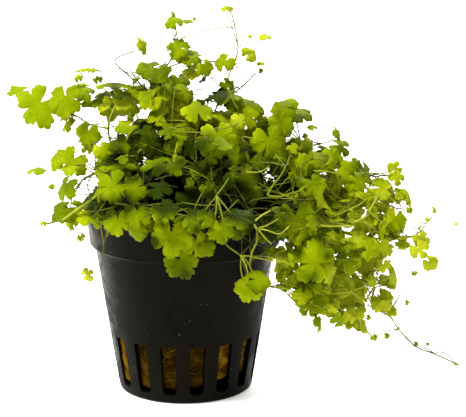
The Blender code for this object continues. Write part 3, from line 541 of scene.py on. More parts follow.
# Young leaves, smaller than most of the frame's, which thicken the plant behind and between the listed ones.
# They keep inside the bush's outline as it shows from the standpoint, and out of its windows, each given by
# its place across, its place up and its radius. In the shade near the front they aren't grown, and elsewhere
# in the shade they are painted dark as shade.
bush = dict(
    outline=(
        (-27, 46.5), (-31, 44.5), (-35.5, 46.5), (-36, 51), (-35.4, 54), (-32, 58), (-33, 59.6),
        (-37, 61.2), (-36.6, 65), (-33, 66.3), (-29, 67), (-29.4, 70), (-27.6, 73), (-24, 72.8),
        (-21.6, 73), (-21, 76), (-23.5, 77), (-26.5, 80), (-29, 77.4), (-30.6, 75.4), (-31.6, 72),
        (-35, 75.6), (-37.5, 72.3), (-42, 75), (-45, 77.6), (-44, 81), (-47, 81), (-45, 83.6), (-41.4, 85),
        (-36, 81.2), (-32, 83.4), (-30, 86.5), (-27.4, 84.8), (-15, 84.3), (-15, 88.2), (-8.5, 90.3),
        (-7, 89), (-5.3, 90.5), (-5.5, 95), (-3.5, 96.3), (0, 94.8), (3, 92.8), (5, 90), (7.2, 89.6),
        (7.4, 86.4), (6.2, 84.4), (10, 85.5), (12.5, 86), (13, 82.4), (18.6, 80.2), (24, 79.7),
        (26.4, 80.9), (30, 78.6), (35, 76.4), (34, 74.3), (31.6, 74.5), (30, 76.3), (28.4, 74), (30, 71.6),
        (30.5, 68.8), (33, 69.8), (36, 66.4), (40, 65.6), (40.2, 71.5), (42.4, 69.4), (45, 65),
        (47.6, 64.2), (47.8, 62), (49.6, 60), (51, 58.2), (55.6, 58.6), (54.6, 62), (57, 62.8), (59, 60.4),
        (59.2, 57.4), (57.4, 55.2), (60, 54.4), (61.6, 56), (61, 50), (59.2, 49.6), (59, 51.6),
        (55.8, 52.2), (56, 49.4), (59.6, 48.4), (60.4, 46), (60, 43), (58.6, 42.4), (60, 40.8), (63, 40.8),
        (64, 43.2), (67, 41.6), (68.2, 40), (66.6, 38), (64, 36.4), (60.4, 35.8), (61.4, 38), (57, 39),
        (55.6, 36.6), (55.2, 33.8), (53, 31), (53.6, 29), (56, 30.4), (53.4, 27), (57.4, 25), (57.8, 20.4),
        (53, 20.6), (51, 22.2), (47.6, 22), (46.8, 18), (42.4, 15.4), (41.4, 15.6), (41, 18.2), (38.2, 19),
        (38, 15.4), (36.2, 15.4), (35.6, 18.2), (31, 22.8), (30.2, 27), (22, 27.2), (20, 40),
    ),
    windows=(
        (-27, 57, 2.4), (-28.6, 55, 1.4), (-25.3, 57.8, 1.5), (-25.8, 61.6, 1.5), (-25.7, 64.5, 0.9),
        (-19.5, 74, 1.4), (-16.5, 74.3, 0.8), (-22.5, 70, 1.1), (-22.4, 71.6, 0.9), (-22.7, 68.6, 0.9),
        (-18.9, 71, 0.7), (-21, 68.6, 0.6), (-24, 82, 0.8), (-21, 82.8, 1.0), (-31.6, 79.6, 0.5),
        (-11, 85, 1.1), (-8.8, 85, 0.8), (-3.8, 85, 0.7), (2.2, 84.8, 1.8), (4.9, 82.3, 1.1),
        (7.6, 83.6, 1.1), (-3.6, 88.8, 1.2), (-0.8, 88.4, 0.9), (0.6, 89.6, 0.7), (8, 79, 0.8),
        (20.6, 78.6, 1.2), (22.2, 77.6, 1.0), (24.8, 59.6, 1.1), (34.2, 51.6, 0.8), (47.5, 50.4, 1.1),
        (49.3, 55.4, 0.5), (53, 52.8, 1.0), (47.1, 39.1, 0.6), (24.4, 40.2, 0.6), (27, 39.8, 1.1),
        (24, 34, 1.3), (24.4, 29.4, 1.1), (29.8, 31.2, 0.7), (48.6, 26, 0.8), (49.6, 25, 0.6),
        (48.4, 23, 0.7), (52.2, 24.6, 0.5), (52.3, 33, 0.8), (51.8, 32, 0.8), (54.6, 31, 1.0),
        (-10.4, 64.2, 1.0), (-8.6, 65.2, 0.7), (-13.7, 61.4, 0.6), (-6, 66.4, 0.6), (-9.6, 77.2, 0.5),
        (-9.4, 75.2, 0.4), (-6.2, 73.6, 0.5), (11.8, 76.4, 0.5), (16.6, 73.6, 0.7),
    ),
    shade=(
        (-16, 53, 4.5), (-9, 53.5, 5.5), (-2, 53.5, 6), (5, 52.5, 6), (12, 52, 5.5), (19, 53, 6),
        (26, 54, 5.5), (-9, 60, 3.5), (2, 61, 4), (22, 60, 3), (-12, 66, 3), (18, 66, 3),
    ),
    seed=11, spacing=1.1, widths=(3.0, 6.2), clear=0.1, reach=(2.0, 9.0), longReach=(9.0, 20.0), longShare=0.3,
    tries=16, lowest=50.0, potRadius=30, least=8, farShare=2.0, scatter=0.6, shadeDepth=-13.0, shadeTone=0.04,
    step=1.2, rise=(-0.5, 0.9), backward=(-0.3, 1.0), middle=(8, 0, 0), faceOut=(0.1, 1.0), faceUp=(0.3, 1.2),
    droop=(0, 0, -0.5), points=12, halves=(0.1, 0.15), ownTouch=0.5, leastGap=0.02, margin=0.0005,
)

# The shaded middle of the bush, which shows between the front leaves: across, up, radius, and how many leaves.
# Its leaves are painted dark as shade, a little lighter higher up.
core = dict(
    places=(
        (22, 58, 8, 40), (29, 53, 6, 26), (-5, 76, 6, 26), (-4, 61, 9, 40), (17, 67, 6, 20), (9, 50, 8, 24),
        (-17, 50, 6, 14), (38, 50, 6, 16), (14, 75, 5, 14), (42, 46, 5, 10),
    ),
    depths=(-12, 22), widths=(4.5, 8.5), farthest=16.0, step=1.5, half=0.05, faceUp=(0, 0, 0.5),
    droop=(0, 0, -0.5), tone=(0.0, 0.10), lighter=(62.0, 12.0, 0.4), seed=21,
)


def tuckSmall(plant, room):  # the small listed leaves, between those of the frame
    tucked = {}
    draw = random.Random(tuck["seed"])
    for owner, (name, limbs, leaves) in enumerate(plant):
        tucked[name] = []
        for leaf in placedLeaves(smallLeaves.get(name, ())):
            tilt = tuck["tilt"] * np.array([draw.gauss(0, 1), 0, draw.gauss(0, 1)])
            if leaf.width > tuck["least"] and leaf.normal @ unit(standpoint - leaf.at) > tuck["facing"]:
                place = leaf.at + leaf.tip * leaf.reach * layout["attachShare"]
                leaf = Leaf(place, leaf.width * tuck["wider"], leaf.tip, leaf.normal + tilt, False)
            leaf, foot, bow = settle(leaf, owner, limbs, room, unit(leaf.at - standpoint), True)
            leaf.small = True
            room.takeLeaf(leaf, foot, bow, tuck["points"], (tuck["half"], tuck["half"]), (owner, owner))
            tucked[name].append((leaf, foot, bow))
    return tucked


def viewPlace(points):  # where points show on the upright plane through the axis
    points = np.atleast_2d(points)
    share = standpoint[1] / (standpoint[1] - points[:, 1])
    return (standpoint + (points - standpoint) * share[:, None])[:, [0, 2]]


def insideBush(points):  # even-odd crossings of the outline, and clear of the windows
    shown = viewPlace(points)
    corners = np.array(bush["outline"], float)
    after = np.roll(corners, -1, 0)
    x, y = shown[:, :1], shown[:, 1:]
    crosses = (corners[:, 1] > y) != (after[:, 1] > y)
    rise = np.where(after[:, 1] == corners[:, 1], 1.0, after[:, 1] - corners[:, 1])
    at = corners[:, 0] + (y - corners[:, 1]) * (after[:, 0] - corners[:, 0]) / rise
    inside = (np.sum(crosses & (x < at), 1) % 2) == 1
    for across, up, radius in bush["windows"]:
        inside &= np.hypot(shown[:, 0] - across, shown[:, 1] - up) > radius
    return inside


def inShade(point):
    shown = viewPlace(point)[0]
    return any(math.hypot(shown[0] - across, shown[1] - up) < radius for across, up, radius in bush["shade"])


def insideSolids(points):  # inside the box around all solids, with a margin
    points, margin = points * mm, bush["margin"]
    return (points > cadLow + margin).all() and (points < cadHigh - margin).all()


def gausses(draw):
    return np.array([draw.gauss(0, 1) for k in range(3)])


def tryYoung(foot, far, reach, draw):  # one young leaf around a foot, facing out and up with some scatter
    turn = draw.uniform(0, 2 * math.pi)
    out = np.array([math.cos(turn), math.sin(turn), draw.uniform(*bush["rise"])])
    if not far:
        out[1] = abs(out[1]) * draw.uniform(*bush["backward"])
    out = unit(out)
    centre = foot + out * draw.uniform(*reach)
    away = unit((centre - bush["middle"]) * (1, 1, 0))
    normal = away * draw.uniform(*bush["faceOut"]) + np.array([0, 0, draw.uniform(*bush["faceUp"])])
    normal = normal + bush["scatter"] * gausses(draw)
    young = Leaf(centre, draw.uniform(*bush["widths"]), out + bush["droop"], unit(normal), False)
    young.hidden = True
    return centre, young


def growYoung(plant, room):
    draw = random.Random(bush["seed"])
    grown = {}
    half, stalkHalf = bush["halves"]
    straight = np.zeros(3)
    for owner, (name, limbs, leaves) in enumerate(plant):
        grown[name] = []
        far = name.startswith("back")
        for limb in limbs:
            fine = smoothPath(limb, bush["step"])[4:]
            count = len(fine) * bush["step"] / bush["spacing"] * (bush["farShare"] if far else 1)
            count = max(1, round(count))
            for k in range(count):
                foot = fine[int((len(fine) - 1) * (k + draw.random()) / count)]
                if foot[2] < bush["lowest"] and math.hypot(foot[0], foot[1]) < bush["potRadius"]:
                    continue
                reach = bush["longReach"] if k % 10 < 10 * bush["longShare"] else bush["reach"]
                best, bestGap = None, -math.inf
                for attempt in range(bush["tries"]):
                    centre, young = tryYoung(foot, far, reach, draw)
                    points = young.latticePoints()
                    if not insideSolids(points) or centre[2] < bush["least"] or not insideBush(points).all():
                        continue
                    if centre[1] < bush["shadeDepth"] and inShade(centre):
                        continue
                    stalk = petiole(foot, young, straight, bush["points"])
                    gap = min(room.gap(points, half, owner), room.gap(stalk[2:], stalkHalf, owner),
                              room.gap(points, half, -1) + bush["ownTouch"])
                    if gap > bestGap:
                        best, bestGap = young, gap
                    if gap > bush["clear"]:
                        break
                if bestGap > bush["leastGap"]:
                    room.takeLeaf(best, foot, straight, bush["points"], bush["halves"], (owner, owner))
                    grown[name].append((best, foot, straight))
    return grown


def growCore(plant, room, grown):  # leaves painted dark as the middle's shade, each on the runner that passes nearest
    draw = random.Random(core["seed"])
    feet = [(name, owner, smoothPath(limb, core["step"])[3:])
            for owner, (name, limbs, leaves) in enumerate(plant) for limb in limbs]
    for across, up, radius, count in core["places"]:
        for k in range(count):
            turn, share = draw.uniform(0, 2 * math.pi), math.sqrt(draw.random()) * radius
            place = across + share * math.cos(turn), up + share * math.sin(turn)
            centre = seen(*place, draw.uniform(*core["depths"]))
            apart = [np.min(np.linalg.norm(path - centre, axis=1)) for name, owner, path in feet]
            if min(apart) > core["farthest"]:
                continue
            name, owner, path = feet[int(np.argmin(apart))]
            normal = unit(standpoint - centre) + core["faceUp"] + bush["scatter"] * gausses(draw)
            tip = gausses(draw) + core["droop"]
            young = Leaf(centre, draw.uniform(*core["widths"]), tip, normal, False)
            young.hidden, young.deep = True, True
            points = young.latticePoints()
            inside = insideSolids(points) and insideBush(points).all()
            if inside and room.gap(points, core["half"], owner) > 0.0:
                room.take(points, core["half"], owner)
                grown[name].append((young, nearest(path, centre), np.zeros(3)))


# Meshes: a bag of surfaces that becomes one piece.
class Bag:
    def __init__(self):
        self.points, self.faces, self.slots, self.maps, self.tones = [], [], [], [], []
        self.count = 0

    def add(self, points, faces, slot, maps=None, tone=(0.5, 0.0, 0.0)):
        # points (n, 3) in mm, faces (m, 4) with -1 in the last place of a triangle
        points = np.asarray(points, float).reshape(-1, 3)
        self.points.append(points * mm)
        self.faces.append(np.where(faces < 0, -1, faces + self.count))
        self.slots.append(np.full(len(faces), slot))
        self.maps.append(np.zeros((len(points), 2)) if maps is None else np.asarray(maps, float))
        self.tones.append(np.broadcast_to(np.asarray(tone, float), (len(points), 3)))
        self.count += len(points)

    def build(self, name, materials, sharpFrom=100):
        points, faces, slots = map(np.concatenate, (self.points, self.faces, self.slots))
        isQuad = faces[:, 3] >= 0
        slots = np.concatenate([slots[isQuad], slots[~isQuad]])
        corners = np.concatenate([faces[isQuad].ravel(), faces[~isQuad][:, :3].ravel()])
        sizes = np.repeat([4, 3], [np.sum(isQuad), np.sum(~isQuad)])
        starts = np.concatenate([[0], np.cumsum(sizes)[:-1]])
        mesh = bpy.data.meshes.new(name)
        mesh.vertices.add(len(points))
        mesh.vertices.foreach_set("co", points.ravel())
        mesh.loops.add(len(corners))
        mesh.loops.foreach_set("vertex_index", corners.astype(np.int32))
        mesh.polygons.add(len(sizes))
        mesh.polygons.foreach_set("loop_start", starts.astype(np.int32))
        mesh.polygons.foreach_set("material_index", slots.astype(np.int32))
        mesh.update(calc_edges=True)
        mesh.polygons.foreach_set("use_smooth", np.ones(len(sizes), bool))
        bladeMap = mesh.uv_layers.new(name="bladeMap")
        bladeMap.data.foreach_set("uv", np.concatenate(self.maps)[corners].ravel())
        tone = mesh.attributes.new("tone", "FLOAT_COLOR", "POINT")
        colours = np.concatenate([np.concatenate(self.tones), np.ones((len(points), 1))], 1)
        tone.data.foreach_set("color", colours.ravel())
        for made in materials:
            mesh.materials.append(made)
        mesh.set_sharp_from_angle(angle=math.radians(sharpFrom))
        return putInScene(name, mesh)


def putInScene(name, data):
    made = bpy.data.objects.new(name, data)
    bpy.context.scene.collection.objects.link(made)
    return made


def gridFaces(rows, columns, start=0, flip=False):  # quads between neighbouring rows, all the way around
    row, column = np.meshgrid(np.arange(rows - 1), np.arange(columns), indexing="ij")
    after = (column + 1) % columns
    quads = np.stack([row * columns + column, row * columns + after,
                      (row + 1) * columns + after, (row + 1) * columns + column], -1).reshape(-1, 4)
    return start + (quads[:, ::-1] if flip else quads)


def fan(ringStart, columns, hub, flip=False):  # triangles from a ring to one point
    k = np.arange(columns)
    ring, after = ringStart + k, ringStart + (k + 1) % columns
    tris = np.stack([ring, after, np.full(columns, hub), np.full(columns, -1)], 1)
    return tris[:, [1, 0, 2, 3]] if flip else tris


wholeTurn = 6.3  # in radians, rounded

# The blade's form: lobes around the petiole, each with rounded teeth along its outer edge. Lobes are degrees
# from the tip, reach, half span and teeth; sizes are least width, columns and rings.
blade = dict(
    lobes=((0.0, 1.0, 35.5, 3), (65.0, 0.99, 35.5, 3), (127.0, 0.88, 38.5, 3)),
    smallLobes=((0.0, 1.0, 41.0, 3), (77.0, 1.0, 45.0, 4), (135.0, 0.86, 37.0, 2)), threeLobed=8.0,
    shape=3.6, tooth=0.15, toothShape=0.5, least=0.26, sinus=(180.0, 0.6, 10.0), skew=6.0, depth=(0.93, 1.12),
    spanSpread=(0.95, 1.05), toothShift=0.12, toothSpread=(0.7, 1.3), reachSpread=(0.92, 1.04), ringPower=0.8,
    thick=0.24, rimThick=0.10, droop=(0.02, 0.42), ownDroop=0.6, lean=0.12, fold=0.03, foldSpread=(0.3, 1.3),
    foldTurn=68, foldRise=0.3, ripple=0.08, waves=(5, 8), secondWave=0.6, mapSpan=0.45, seed=5,
    sizes=((8.4, 120, 6), (6.4, 84, 4), (0.0, 48, 2)),
    youngDroop=(-0.4, 0.1), youngSaddle=(0, 0.22), youngRipple=(0, 0.16), youngTurn=(-3, 3),
    youngReach=(0.9, 1.08), youngHalf=0.1, youngUnder=0.3,
)

# A young blade's outline: degrees from the tip and reach, mirrored to the other side.
youngHalf = (
    (0, 0.93), (13, 1.0), (27, 0.86), (38, 0.50), (50, 0.88), (64, 1.0), (80, 0.92), (95, 0.88), (107, 0.72),
    (120, 0.82), (137, 0.74), (156, 0.55), (180, 0.20),
)


def fromMiddle(angle, middle):  # degrees from a middle, the short way around
    return (angle - middle + 180) % 360 - 180


def bladeOutline(angle, lobes, draw):
    # each lobe reaches reach * (1 - |u|^shape)^(1/2) with u = away / half span, and its teeth take off
    # tooth * (1 - |sin|^toothShape); the outline is the farthest lobe, less a notch at the petiole
    total = np.full(len(angle), blade["least"])
    broad = draw.uniform(*blade["depth"])
    for centre, reach, half, teeth in lobes:
        for side in (1, -1) if centre else (1,):
            middle = side * centre + draw.uniform(-1, 1) * blade["skew"]
            away = fromMiddle(angle, middle) / (half * broad * draw.uniform(*blade["spanSpread"]))
            body = np.sqrt(np.clip(1 - np.abs(away) ** blade["shape"], 0, 1))
            phase = (away + 1) / 2 * teeth + draw.uniform(-blade["toothShift"], blade["toothShift"])
            notch = 1 - np.abs(np.sin(np.pi * phase)) ** blade["toothShape"]
            depth = blade["tooth"] * draw.uniform(*blade["toothSpread"])
            lobe = reach * draw.uniform(*blade["reachSpread"]) * body * (1 - depth * notch)
            total = np.maximum(total, lobe)
    centre, depth, width = blade["sinus"]
    away = fromMiddle(angle, centre) / width
    return total * (1 - depth * np.exp(-away**2))


def shownTone(leaf, points):  # a leaf's tone with the light and shade of its place
    return np.clip(leaf.tone + moodAt(points), 0, max(tones["freshest"], leaf.tone))


def flatPlaces(across, along):  # places over the blade from above, for its veins
    return 0.5 + blade["mapSpan"] * np.stack([across, along], -1).reshape(-1, 2)


def bladeSurface(leaf, bag, slot, draw):
    # A polar sheet: place = at + share * reach(angle) * direction, lifted along the normal by a droop that
    # grows with the square of the reach, a fold between the lobes and a ripple. Two sheets, closed at the rim.
    columns, rings = next((many, rows) for least, many, rows in blade["sizes"] if leaf.width >= least)
    angle = np.arange(columns) * 360 / columns
    turn = np.radians(angle)
    outline = bladeOutline(angle, blade["smallLobes" if leaf.width < blade["threeLobed"] else "lobes"], draw)
    share = np.linspace(0, 1, rings + 1)[1:, None] ** blade["ringPower"]
    r = share * outline[None]
    across, along = r * np.sin(turn), r * np.cos(turn)
    droop = draw.uniform(*blade["droop"]) * (blade["ownDroop"] if leaf.own else 1.0)
    bend = (layout["cup"] if leaf.own else 0.0) - droop
    lean = draw.uniform(-blade["lean"], blade["lean"])
    fold = blade["fold"] * draw.uniform(*blade["foldSpread"])
    first, second = draw.uniform(0, wholeTurn), draw.uniform(0, wholeTurn)
    few, many = blade["waves"]
    wave = np.sin(few * turn + first) + blade["secondWave"] * np.sin(many * turn + second)
    height = bend * r**2 + lean * r**2 * np.sin(turn + first)
    height = height - fold * r**1.5 * (0.5 + 0.5 * np.cos(turn * 360 / blade["foldTurn"]))
    height = height + blade["ripple"] * r**2.5 * wave
    height = (height + fold * blade["foldRise"] * r) * leaf.reach
    half = (blade["thick"] + (blade["rimThick"] - blade["thick"]) * share**3) / 2
    base = leaf.at + (across * leaf.reach)[..., None] * leaf.side + (along * leaf.reach)[..., None] * leaf.tip
    sheets = [(base + (height + side * half)[..., None] * leaf.normal).reshape(-1, 3) for side in (1, -1)]
    hub = leaf.normal * blade["thick"] / 2
    points = np.concatenate([*sheets, [leaf.at + hub, leaf.at - hub]])
    n = rings * columns
    rim = n - columns + np.arange(columns)
    after = n - columns + (np.arange(columns) + 1) % columns
    faces = np.concatenate([
        gridFaces(rings, columns, flip=True), gridFaces(rings, columns, start=n),
        fan(0, columns, 2 * n), fan(n, columns, 2 * n + 1, flip=True),
        np.stack([rim, n + rim, n + after, after], 1),
    ])
    flat = flatPlaces(across, along)
    tone = np.zeros((len(points), 3))
    tone[:, 0] = shownTone(leaf, points)
    tone[n:2 * n, 1] = 1.0
    tone[2 * n + 1, 1] = 1.0
    tone[:2 * n, 2] = np.tile(np.repeat(share[:, 0] ** 2, columns), 2)
    bag.add(points, faces, slot, np.concatenate([flat, flat, [[0.5, 0.5]] * 2]), tone)


def youngSurface(leaf, bag, slot, draw):
    # A lens: one hub above and one below, and a rim that droops, tilts and waves with the angle.
    half = np.array(youngHalf, float)
    outline = np.concatenate([half, (half[1:-1] * [-1, 1])[::-1]])
    columns = len(outline)
    turn = np.radians(outline[:, 0] + np.array([draw.uniform(*blade["youngTurn"]) for k in range(columns)]))
    r = outline[:, 1] * np.array([draw.uniform(*blade["youngReach"]) for k in range(columns)])
    lobe = draw.uniform(0, wholeTurn)
    height = draw.uniform(*blade["youngDroop"]) * r**2
    height = height + draw.uniform(*blade["youngSaddle"]) * r * np.cos(2 * turn + lobe)
    height = height + draw.uniform(*blade["youngRipple"]) * r**2 * np.cos(blade["waves"][0] * turn + lobe)
    across, along = r * np.sin(turn), r * np.cos(turn)
    rim = leaf.at + leaf.reach * (
        across[:, None] * leaf.side + along[:, None] * leaf.tip + height[:, None] * leaf.normal)
    hub = leaf.normal * blade["youngHalf"]
    tone = np.zeros((columns + 2, 3))
    tone[:, 0] = shownTone(leaf, leaf.at)
    tone[:columns, 1:] = blade["youngUnder"], 1.0
    tone[-1, 1] = 1.0
    faces = np.concatenate([fan(0, columns, columns), fan(0, columns, columns + 1, flip=True)])
    maps = np.concatenate([flatPlaces(across, along), [[0.5, 0.5]] * 2])
    bag.add(np.concatenate([rim, [leaf.at + hub, leaf.at - hub]]), faces, slot, maps, tone)


def stalkSurface(path, radii, sides, bag, slot, tone, lit=0.0):
    # A ring carried along a path: place = path + radius(along) * (cos, sin) in the frame that turns least.
    path = np.asarray(path)
    heading = np.gradient(path, axis=0)
    heading = heading / np.linalg.norm(heading, axis=1)[:, None]
    across = np.empty_like(path)
    first = np.cross(heading[0], stems["start"])
    for k, way in enumerate(heading):
        first = unit(first - way * (first @ way))
        across[k] = first
    other = np.cross(heading, across)
    turn = np.arange(sides) * 2 * np.pi / sides
    radii = np.broadcast_to(radii, len(path))
    rings = path[:, None] + radii[:, None, None] * (
        np.cos(turn)[None, :, None] * across[:, None] + np.sin(turn)[None, :, None] * other[:, None])
    end = path[-1] + heading[-1] * radii[-1] * stems["endRound"]
    points = np.concatenate([rings.reshape(-1, 3), [path[0], end]])
    n = len(path) * sides
    faces = np.concatenate([gridFaces(len(path), sides), fan(0, sides, n, flip=True),
                            fan(n - sides, sides, n + 1)])
    along = np.linspace(0, 1, len(path))
    maps = np.stack(np.broadcast_arrays(turn[None] / (2 * np.pi), along[:, None]), -1).reshape(-1, 2)
    shades = np.repeat(np.broadcast_to(tone, len(path)), sides)
    colours = np.zeros((len(points), 3))
    colours[:, 0] = np.concatenate([shades, [shades[0], shades[-1]]])
    colours[:, 1] = lit
    bag.add(points, faces, slot, np.concatenate([maps, [[0, 0], [0, 1]]]), colours)


# Stems: radii, steps and swellings in mm, and how many sides and points each kind of stem has.
stems = dict(
    runner=0.36, runnerTip=0.16, branch=0.26, petioleFoot=0.22, petioleEnd=0.15, youngFoot=0.15, youngEnd=0.10,
    endOfWidth=0.03, endLeast=0.05, runnerSides=9, petioleSides=6, petiolePoints=12, youngSides=4,
    youngPoints=8, neckPoints=4, neckTone=0.5, step=0.9, strandTaper=(1.1, 0.8), swell=0.32, swellEvery=9.0,
    swellSpan=0.6, swellShift=2, start=(0.31, 0.2, 0.93), endRound=0.7, toneSpan=0.85, seed=3,
)


def runnerRadii(path, thick, thin):  # tapers along the stem and swells a little at each joint
    run = np.concatenate([[0], np.cumsum(np.linalg.norm(np.diff(path, axis=0), axis=1))])
    fromJoint = (run + stems["swellShift"]) % stems["swellEvery"] - stems["swellShift"]
    swell = stems["swell"] * np.exp(-(fromJoint / stems["swellSpan"]) ** 2)
    return (thick + (thin - thick) * (run / run[-1])) * (1 + swell)


